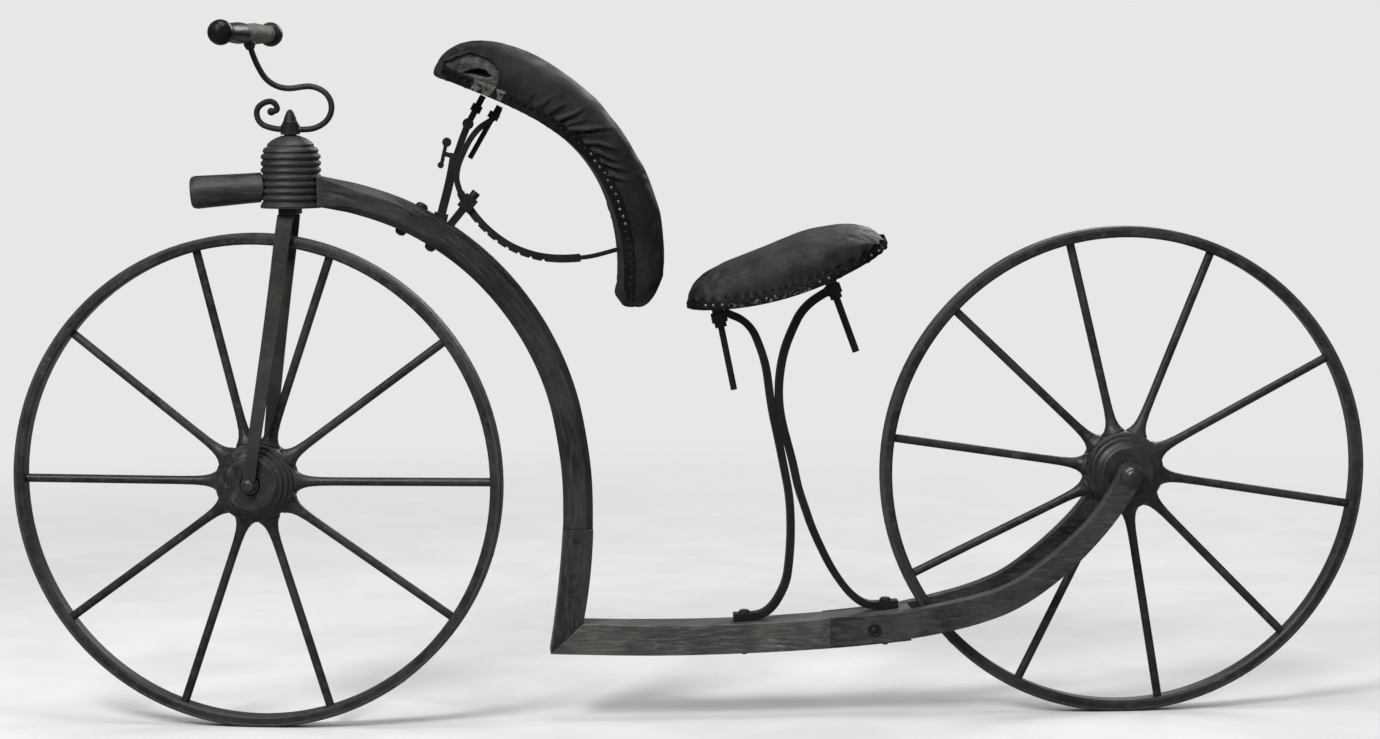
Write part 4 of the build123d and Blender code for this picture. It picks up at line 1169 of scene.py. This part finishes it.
@dataclass
class ArmRest:
    """Prop, notched arc, board and the stuffed arm rest."""

    board: SideCurve = SideCurve(over_ground([
        (-361.5, 931.5, -22.0), (-241.0, 879.5, -27.0), (-147.0, 805.0, -54.0), (-104.5, 690.0, -83.0),
        (-104.5, 612.0, -94.0),
    ]))
    board_thick: float = 0.011
    half: float = 0.095
    tack_pitch: float = 0.0105
    tack_height: float = 0.0095
    first_tack: float = 0.018
    last_tack: float = 0.012
    strip_high: float = 0.0165
    strip_columns: int = 300
    strip_rows: int = 7
    lip_columns: int = 60
    lip_rows: int = 36
    leather_thick: float = 0.0012
    folds: tuple[Fold, ...] = (
        Fold((-0.4010, 0.1850), (-0.3850, 0.2000), 0.0040, 0.0008),
        Fold((-0.3850, 0.1760), (-0.3600, 0.1930), 0.0036, 0.0012),
        Fold((-0.3700, 0.1670), (-0.3380, 0.1840), 0.0034, 0.0016),
        Fold((-0.3534, 0.1582), (-0.3142, 0.1746), 0.0030, 0.0028),
        Fold((-0.3460, 0.1500), (-0.3080, 0.1610), 0.0022, 0.0018),
        Fold((-0.3424, 0.1442), (-0.2749, 0.1490), 0.0032, 0.0038),
        Fold((-0.3350, 0.1375), (-0.3010, 0.1395), 0.0022, 0.0018),
        Fold((-0.3285, 0.1302), (-0.2627, 0.1177), 0.0030, 0.0038),
        Fold((-0.3200, 0.1230), (-0.2850, 0.1130), 0.0022, 0.0020),
        Fold((-0.3147, 0.1162), (-0.2600, 0.1018), 0.0030, 0.0036),
        Fold((-0.3100, 0.1090), (-0.2840, 0.1010), 0.0020, 0.0016),
        Fold((-0.3036, 0.1022), (-0.2530, 0.0888), 0.0030, 0.0036),
        Fold((-0.2990, 0.0930), (-0.2700, 0.0850), 0.0022, 0.0018),
        Fold((-0.2954, 0.0854), (-0.2500, 0.0748), 0.0032, 0.0032),
        Fold((-0.2890, 0.0660), (-0.2640, 0.0580), 0.0036, 0.0020),
        Fold((-0.2820, 0.0420), (-0.2610, 0.0360), 0.0040, 0.0014),
        Fold((-0.2780, 0.0100), (-0.2600, 0.0050), 0.0042, 0.0012),
    )
    bright_tacks: tuple[float, float] = (0.235, 0.350)
    # Stuffed end of the leather, closed: reach beyond the board's end, and height over its hollow side
    front_lip: Spots = (
        (0.0032, 0.0235), (0.0048, 0.0205), (0.0059, 0.0165), (0.0063, 0.0120), (0.0062, 0.0075),
        (0.0056, 0.0035), (0.0040, 0.0008), (0.0010, -0.0006), (-0.0040, -0.0011), (-0.0100, -0.0006),
        (-0.0150, 0.0004), (-0.0150, 0.0040), (-0.0030, 0.0060), (-0.0030, 0.0200), (0.0032, 0.0235),
    )
    low_lip: Spots = (
        (0.0022, 0.0200), (0.0032, 0.0140), (0.0034, 0.0085), (0.0030, 0.0035), (0.0014, -0.0004),
        (-0.0016, -0.0020), (-0.0060, -0.0024), (-0.0130, -0.0014), (-0.0200, 0.0004), (-0.0200, 0.0040),
        (-0.0040, 0.0060), (-0.0040, 0.0180), (0.0022, 0.0200),
    )
    # Torn places of the near side at the front tip, traced as x and z
    patch: Spots = (
        (-0.5122, 0.2379), (-0.4986, 0.2425), (-0.4886, 0.2461), (-0.4747, 0.2516), (-0.4609, 0.2474),
        (-0.4471, 0.2404), (-0.4347, 0.2279), (-0.4363, 0.2113), (-0.4411, 0.2035), (-0.4393, 0.1906),
        (-0.4559, 0.1934), (-0.4752, 0.2018), (-0.4862, 0.2116), (-0.4945, 0.2200), (-0.5012, 0.2282),
    )
    hole: Spots = (
        (-0.4850, 0.2228), (-0.4760, 0.2275), (-0.4638, 0.2308), (-0.4528, 0.2276), (-0.4440, 0.2183),
        (-0.4520, 0.2160), (-0.4695, 0.2198),
    )

    def creased(self, rows: np.ndarray, seed: float) -> np.ndarray:
        """Height of the folds of one side, in metres.

        Args:
            rows: Places of the points.
            seed: Makes the two sides differ.

        Returns:
            Height of the folds at each point.
        """
        drift = ripple(rows, 34, seed) * 0.0030 + ripple(rows, 90, seed + 3) * 0.0010
        total = np.zeros(len(rows))
        for i, fold in enumerate(self.folds):
            jitter = (seed - 8) * 0.006 * math.sin(i * 2.1)
            span = np.array(fold.tip) - np.array(fold.foot)
            length = np.linalg.norm(span)
            way = span / length
            local = rows[:, (0, 2)] - np.array(fold.foot) - jitter
            share = local @ way / length
            side = local @ np.array((-way[1], way[0])) + drift + 0.002 * share**2
            place = side / (fold.width * (1.25 - 0.5 * np.clip(share, 0, 1)))
            ridge = np.exp(-place**2) - 0.85 * np.exp(-((place + 1.6) ** 2) / 0.6)
            total += fold.depth * ridge * step(share, -0.20, 0.04) * (1 - step(share, 0.45, 1.12))
        return total

    def refine(self, piece: Piece) -> None:
        """Cut the mesh finer round the torn place, and into triangles.

        Args:
            piece: The stuffed rest.
        """
        with editing(piece):
            bpy.ops.mesh.select_all(action="DESELECT")
            for _ in range(2):
                select_faces(piece, lambda face: face.calc_center_median().y < -0.078 and float(
                    inside(np.array([face.calc_center_median().xz]), self.patch)[0]) > -0.007)
                bpy.ops.mesh.subdivide(number_cuts=1, smoothness=0)
        with editing(piece):
            bpy.ops.mesh.quads_convert_to_tris(quad_method="BEAUTY", ngon_method="BEAUTY")

    def cushion(self) -> None:
        """Stuffed leather rest: folded on its hollow side, torn at its front tip."""
        piece = copy_node("rest_cushion", "rest_leather")
        edge = self.board_thick + 0.004
        stuffed(piece, lambda rows: self.board.locate(rows[:, 0], rows[:, 2])[1] < edge, 0.005)
        self.refine(piece)
        rows, ways = points_of(piece), points_of(piece, "normal")
        along, beside = self.board.locate(rows[:, 0], rows[:, 2])
        sides = step(np.abs(ways[:, 1]), 0.35, 0.85) * step(np.abs(rows[:, 1]), 0.055, 0.085)
        left, right = self.creased(rows, 8), self.creased(rows, 9)
        folds = np.where(rows[:, 1] < 0, left, right) * sides
        off = np.clip(beside - self.board_thick, 0, 1)
        puckers = np.sin(along / self.tack_pitch * 2 * math.pi + ripple(rows, 40, 3)) * np.exp(-off / 0.006)
        lumps = ripple(rows, 16, 1) * 0.0020 + ripple(rows, 48, 2) * 0.0007
        creases = np.maximum(0, ripple(rows * (1, 0.45, 1), 30, 5) - 0.28) * -0.0022
        move = (lumps + creases) * step(off, 0.001, 0.010) + folds + puckers * 0.0008 * sides - 0.0012
        # The leather's edge curls where it is torn, the lining lies deeper and sags into a hole
        flat = rows[:, (0, 2)]
        fray = ripple(rows, 130, 6) * 0.0013 + ripple(rows, 420, 7) * 0.0006
        near_side = step(-rows[:, 1], 0.074, 0.084)
        gap = inside(flat, self.patch) + fray
        deep = inside(flat, self.hole) + fray * 0.6
        torn = step(gap, -0.0006, 0.0008) * near_side
        hollow = step(deep, -0.0015, 0.0050) * near_side
        curl = np.exp(-((gap + 0.0022) / 0.0016) ** 2) * near_side
        sag = ripple(rows, 75, 9) * 0.0018 + ripple(rows * (1, 1, 2.2), 160, 4) * 0.0008
        move = move * (1 - torn) + torn * (sag - 0.0042) + curl * 0.0013 - hollow * 0.012
        place_points(piece, rows + ways * np.where(off > 0.0008, move, 0)[:, None])
        # The fold mark lightens the ridges as wear and paints shade into the hollows.
        mark(piece, "fold", np.clip(folds / 0.0028, -1, 1))
        # Above one, in the hole, this mark makes the leather finish paint near-black shade.
        mark(piece, "torn", torn + step(deep, -0.0004, 0.0014) * near_side)
        smooth(piece, CREASED_ANGLE)
        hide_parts("rest_cushion")
        dress(piece, Body.FRAME, REST_LEATHER)

    def hem(self, side: int) -> Piece:
        """Strip of leather turned down over the board's edge on one side.

        Args:
            side: -1 for the left side, 1 for the right side.

        Returns:
            The strip.
        """
        piece = grid("rest_hem_left" if side < 0 else "rest_hem_right", self.strip_columns, self.strip_rows)
        rows = points_of(piece)
        first, last = 0.004, self.board.length() - 0.004
        line, lengths = self.board.measured()
        spot = first + (last - first) * rows[:, 0]
        x, z = (np.interp(spot, lengths, line[:, i]) for i in (0, 1))
        way_x, way_z = (np.interp(spot, lengths, np.gradient(line[:, i])) for i in (0, 1))
        size = np.hypot(way_x, way_z)
        places = np.stack([x, np.full(len(x), float(side)), z], axis=1)
        low = 0.0004 + 0.0014 * ripple(places, 70, 5) + 0.0010 * ripple(places, 210, 6)
        off = low + (self.strip_high - low) * rows[:, 1]
        out = self.half - 0.0014 + 0.0026 * step(off, 0.010, 0.0125) - 0.0022 * step(off, 0.0145, 0.0165)
        out = out + 0.0009 * (1 - rows[:, 1]) * (0.6 + ripple(places, 120, 7))
        place_points(piece, np.stack([x - way_z / size * off, side * out, z + way_x / size * off], axis=1))
        frayed = step(spot, 0.042, 0.058) * step(spot, 0.112, 0.096) * (side < 0)
        rags = ripple(places, 95, 9) + 0.5 * ripple(places, 260, 4) + 0.55 * (rows[:, 1] - 0.40)
        mark(piece, "torn", frayed * step(rags, -0.10, 0.02))
        thicken(piece, self.leather_thick, side)
        dress(piece, Body.FRAME, HEM)
        return piece

    def lip(self, name: str, length: float, outward: float, outline: Spots) -> None:
        """Leather stuffed and rolled round one end of the board.

        Args:
            name: Name of the piece.
            length: Place of the end along the board.
            outward: -1 at the front end, 1 at the lower end.
            outline: Closed outline of the roll, as reach beyond the board and height over it.
        """
        piece = grid(name, self.lip_columns, self.lip_rows)
        rows = points_of(piece)
        base, way = self.board.at(length)
        shares = np.linspace(0, 1, len(outline))
        out, off = (np.interp(rows[:, 1], shares, [spot[i] for spot in outline]) for i in (0, 1))
        width = rows[:, 0] * 2 - 1
        side = width * (self.half + self.leather_thick)
        places = np.stack([out, side, off], axis=1)
        free = step(out, -0.012, 0.002)
        out = out + 0.0008 * ripple(places, 90, 5) * free - 0.0022 * step(np.abs(width), 0.965, 1.0) * free
        spots = np.outer(outward * out, way) + np.outer(off, across(way)) + np.array(base)
        spots[:, 1] = side
        place_points(piece, spots)
        closed(piece)
        with editing(piece):
            bpy.ops.mesh.fill_holes(sides=0)
            bpy.ops.mesh.normals_make_consistent(inside=False)
        smooth(piece, SOFT_ANGLE)
        dress(piece, Body.FRAME, REST_LEATHER)

    def tacks(self, cover: Piece, side: int) -> None:
        """Row of tacks through the strip on one side.

        Args:
            cover: The strip.
            side: -1 for the left side, 1 for the right side.
        """
        shots = []
        row = self.board.length() - self.first_tack - self.last_tack
        for i in range(int(row / self.tack_pitch)):
            length = self.first_tack + i * self.tack_pitch
            base, way = self.board.at(length)
            spot = base + across(way) * (self.tack_height + 0.0010 * math.sin(i * 1.9))
            bright = self.bright_tacks[0] < length < self.bright_tacks[1]
            shots.append((spot + Vector((0, side * 0.2, 0)), Vector((0, -side, 0)), bright))
        Tacks("rest_tacks_left" if side < 0 else "rest_tacks_right").drive(cover, shots)

    def build(self) -> None:
        """Finish the solids and make the cushion, its strips, tacks and rolled ends."""
        paint(STAY_IRON, "rest_post", "rest_slide", "rest_arc", "rest_clamp", "rest_clamp_knob",
              "rest_thumb_screw", "rest_screw")
        paint(SHADED_BOARD, "rest_board")
        self.cushion()
        for side in (-1, 1):
            self.tacks(self.hem(side), side)
        self.lip("rest_lip_front", 0.0, -1, self.front_lip)
        self.lip("rest_lip_low", self.board.length(), 1, self.low_lip)


def seat(node: str, start: Sequence[float], way: Sequence[float], spin: float = 0.0) -> Matrix:
    """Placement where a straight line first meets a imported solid.

    Args:
        node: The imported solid.
        start: Start of the line.
        way: Direction of the line.
        spin: Turn of the seated piece about its own axis, in radians.

    Returns:
        The placement, standing on the surface.
    """
    tree = BVHTree.FromObject(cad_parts[node], bpy.context.evaluated_depsgraph_get())
    hit, normal, _, _ = tree.ray_cast(Vector(start), Vector(way))
    return aim(hit, normal, spin)


@dataclass
class Trim:
    """Plugs, screws, nuts, hoops and the grip's collar."""

    wheels: tuple[Wheel, ...]
    plug_at: tuple[float, float] = (0.0990, -0.5801)
    screws_at: Spots = ((-0.3305, -0.4451), (-0.3367, -0.4957), (-0.3383, -0.5160))
    bolt_inset: float = 0.0085
    collar_at: tuple[float, float, float] = (-0.7848, 0, 0.2625)
    collar_way: tuple[float, float, float] = (-0.207, 0, 0.978)

    def plugs(self) -> None:
        """Ringed bolt ends through the rear arms, one on each side."""
        x, z = self.plug_at
        places = []
        for side, node in ((-1, "left_arm"), (1, "right_arm")):
            places.append(seat(node, (x, side * 0.4, z), (0, -side, 0)))
        profile = ((0.0100, -0.0020), (0.0100, 0.0008), (0.0088, 0.0014), (0.0070, 0.0012), (0.0064, 0.0002),
                   (0.0046, 0.0002), (0.0040, 0.0024), (0.0020, 0.0034))
        Stud(profile, 28, FORGED).drive("arm_plugs", places)

    def screws(self) -> None:
        """Sunk screw heads beside the joint under the perch."""
        places = []
        for x, z in self.screws_at:
            places += [seat("upright", (x, side * 0.3, z), (0, -side, 0), x * 90) for side in (-1, 1)]
        profile = ((0.0044, -0.0016), (0.0044, 0.0003), (0.0036, 0.0006), (0.0022, 0.0005),
                   (0.0015, -0.0012))
        Stud(profile, 20, FORGED).drive("joint_screws", places)

    def nuts(self) -> None:
        """Nuts under the platform at the ends of the stay bolts."""
        low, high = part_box("stay_bolts")
        places = []
        for x in (low.x + self.bolt_inset, high.x - self.bolt_inset):
            places.append(seat("platform", (x, 0.0, -0.9), (0, 0, 1), x * 20))
        washer = turned(((0.0110, -0.0010), (0.0110, 0.0010), (0.0104, 0.0015), (0.0060, 0.0015)), 28)
        nut = turned(((0.0082, 0.0008), (0.0082, 0.0034), (0.0074, 0.0044), (0.0050, 0.0044)), 6)
        end = turned(((0.0038, 0.0030), (0.0038, 0.0058), (0.0030, 0.0064)), 18)
        pick(washer, end, nut)
        bpy.ops.object.join()
        joined = strew(bpy.context.view_layer.objects.active, places, "platform_nuts")
        smooth(joined, TRIM_ANGLE)
        dress(joined, Body.FRAME, FORGED)

    def collar(self) -> None:
        """Rolled collar where the handle's rod enters the grip."""
        profile = ((0.0046, -0.0042), (0.0058, -0.0034), (0.0070, -0.0008), (0.0082, 0.0020),
                   (0.0086, 0.0046), (0.0070, 0.0066))
        axis = Matrix.Translation((STEER_X, 0, 0))
        steered = axis @ Matrix.Rotation(REST_STEER, 4, "Z") @ axis.inverted()
        place = steered @ aim(Vector(self.collar_at), Vector(self.collar_way))
        Stud(profile, 28, FORGED, angle=TACK_ANGLE).drive("grip_collar", [place], Body.FORK)

    def build(self) -> None:
        """Make every small piece."""
        self.plugs()
        self.screws()
        self.nuts()
        for wheel in self.wheels:
            wheel.hoops()
        self.collar()


# Studio


@dataclass(frozen=True)
class Softbox:
    """Square soft lamp."""

    name: str
    place: tuple[float, float, float]
    aim_at: tuple[float, float, float]
    side: float
    power: float

    def build(self) -> None:
        """Hang the lamp."""
        data = bpy.data.lights.new(self.name, "AREA")
        data.shape = "SQUARE"
        data.size = self.side
        data.energy = self.power
        lamp = placed(self.name, data)
        lamp.location = self.place
        way = Vector(self.aim_at) - Vector(self.place)
        lamp.rotation_euler = way.to_track_quat("-Z", "Y").to_euler()


@dataclass
class Studio:
    """Pale floor, pale surroundings, soft lamps and the camera of the photograph."""

    floor_z: float = -0.712
    floor_tone: float = 0.72
    back_tone: float = 0.80
    ambient: float = 0.17
    bounce: float = 0.28
    eye: tuple[float, float, float] = (-0.499, -4.436, 0.227)
    yaw: float = math.radians(4.325)
    pitch: float = math.radians(5.512)
    roll: float = math.radians(-0.266)
    focal_pixels: float = 3106.0
    photo_width: float = 1380.0
    sensor: float = 36.0
    lamps: tuple[Softbox, ...] = (
        Softbox("key", (-2.4, -3.0, 2.9), (-0.1, 0, -0.2), 1.5, 220),
        Softbox("fill", (3.0, -3.0, 1.0), (0.1, 0, -0.2), 2.6, 18),
        Softbox("top", (-0.2, -0.3, 3.2), (0, 0, -0.2), 2.0, 75),
        Softbox("back", (1.6, 3.4, 2.0), (0, 0, -0.2), 2.0, 60),
    )

    def camera(self) -> None:
        """Stand the camera where the photograph's camera stood."""
        data = bpy.data.cameras.new("camera")
        data.sensor_width = self.sensor
        data.lens = self.focal_pixels / self.photo_width * self.sensor
        data.clip_end = 100
        camera = placed("camera", data)
        ahead = Vector((math.sin(self.yaw) * math.cos(self.pitch), math.cos(self.yaw) * math.cos(self.pitch),
                        -math.sin(self.pitch)))
        right = Vector((math.cos(self.yaw), -math.sin(self.yaw), 0))
        up = right.cross(ahead)
        c, s = math.cos(self.roll), math.sin(self.roll)
        right, up = right * c + up * s, up * c - right * s
        turn = Matrix((right, up, -ahead)).transposed().to_4x4()
        camera.matrix_world = Matrix.Translation(self.eye) @ turn
        bpy.context.scene.camera = camera

    def floor(self) -> None:
        """Lay a wide pale floor that fades into the surroundings."""
        bpy.ops.object.select_all(action="DESELECT")
        bpy.ops.mesh.primitive_grid_add(x_subdivisions=2, y_subdivisions=2, size=60)
        ground = bpy.context.active_object
        ground.name = "floor"
        ground.location = (0, 0, self.floor_z)
        pick(ground)
        bpy.ops.object.transform_apply(location=True, rotation=True, scale=True)
        shader = Shader("floor")
        spread = shader.add("ShaderNodeVectorMath", {0: shader.place}, operation="LENGTH")
        mottled = shader.level(shader.cloud(5, 6, 0.6), 0.3, 0.7, 0.94, 1.03)
        specks = shader.level(shader.cells(45), 0.16, 0.08, 0.0, 0.25)
        specks = shader.times(specks, shader.level(shader.cloud(3.5, 4), 0.50, 0.62))
        tone = shader.blend(specks, grey(self.floor_tone, 0.0), grey(self.floor_tone * 0.5, 0.0))
        tint = shader.blend(1.0, tone, mottled, "MULTIPLY")
        seen = shader.add("ShaderNodeLightPath", {}).outputs["Is Camera Ray"]
        shader.put(shader.surface.inputs["Base Color"], shader.blend(seen, grey(self.bounce, 0.0), tint))
        shader.surface.inputs["Roughness"].default_value = 0.95
        shader.surface.inputs["Specular IOR Level"].default_value = 0.1
        glow = shader.add("ShaderNodeEmission", {"Color": grey(self.back_tone, 0.0)})
        far = shader.times(shader.level(spread.outputs["Value"], 1.3, 3.6), seen)
        fade = shader.add("ShaderNodeMixShader", {
            "Fac": far, 1: shader.surface.outputs["BSDF"], 2: glow.outputs["Emission"]})
        shader.put(shader.tree.nodes["Material Output"].inputs["Surface"], fade.outputs["Shader"])
        ground.data.materials.append(shader.material)

    def surroundings(self) -> None:
        """Pale backdrop to the camera and to transmission rays, and a softer light on the object."""
        world = bpy.data.worlds.new("surroundings")
        bpy.context.scene.world = world
        world.use_nodes = True
        nodes, links = world.node_tree.nodes, world.node_tree.links
        lit = nodes["Background"]
        lit.inputs["Color"].default_value = (1, 1, 1, 1)
        lit.inputs["Strength"].default_value = self.ambient
        seen = nodes.new("ShaderNodeBackground")
        seen.inputs["Color"].default_value = grey(self.back_tone, 0.0)
        path = nodes.new("ShaderNodeLightPath")
        either = nodes.new("ShaderNodeMath")
        either.operation = "MAXIMUM"
        mixed = nodes.new("ShaderNodeMixShader")
        for output, socket in (
            (path.outputs["Is Camera Ray"], either.inputs[0]),
            (path.outputs["Is Transmission Ray"], either.inputs[1]),
            (either.outputs[0], mixed.inputs["Fac"]),
            (lit.outputs[0], mixed.inputs[1]),
            (seen.outputs[0], mixed.inputs[2]),
            (mixed.outputs[0], nodes["World Output"].inputs["Surface"]),
        ):
            links.new(output, socket)

    def build(self) -> None:
        """Set the whole studio."""
        bpy.context.scene.view_settings.view_transform = "Standard"
        self.camera()
        self.floor()
        self.surroundings()
        for lamp in self.lamps:
            lamp.build()


def main() -> None:
    """Build the studio and every sub-assembly."""
    Studio().build()
    front = Wheel("front", Body.FRONT_WHEEL, (-0.785046, 0.010387, -0.3565),
                  (0.3, 36.4, 71.0, 104.0, 141.5, 179.7, 215.9, 250.8, 287.4, 325.6), REST_STEER)
    rear = Wheel("rear", Body.REAR_WHEEL, (0.468, 0.0, -0.3565),
                 (-9.2, 28.2, 68.1, 103.5, 136.3, 171.3, 205.6, 243.5, 279.4, 314.6))
    for part in (front, rear, Steering(), WoodenFrame(), Saddle(), ArmRest(), Trim((front, rear))):
        part.build()


if __name__ == "__main__":
    main()
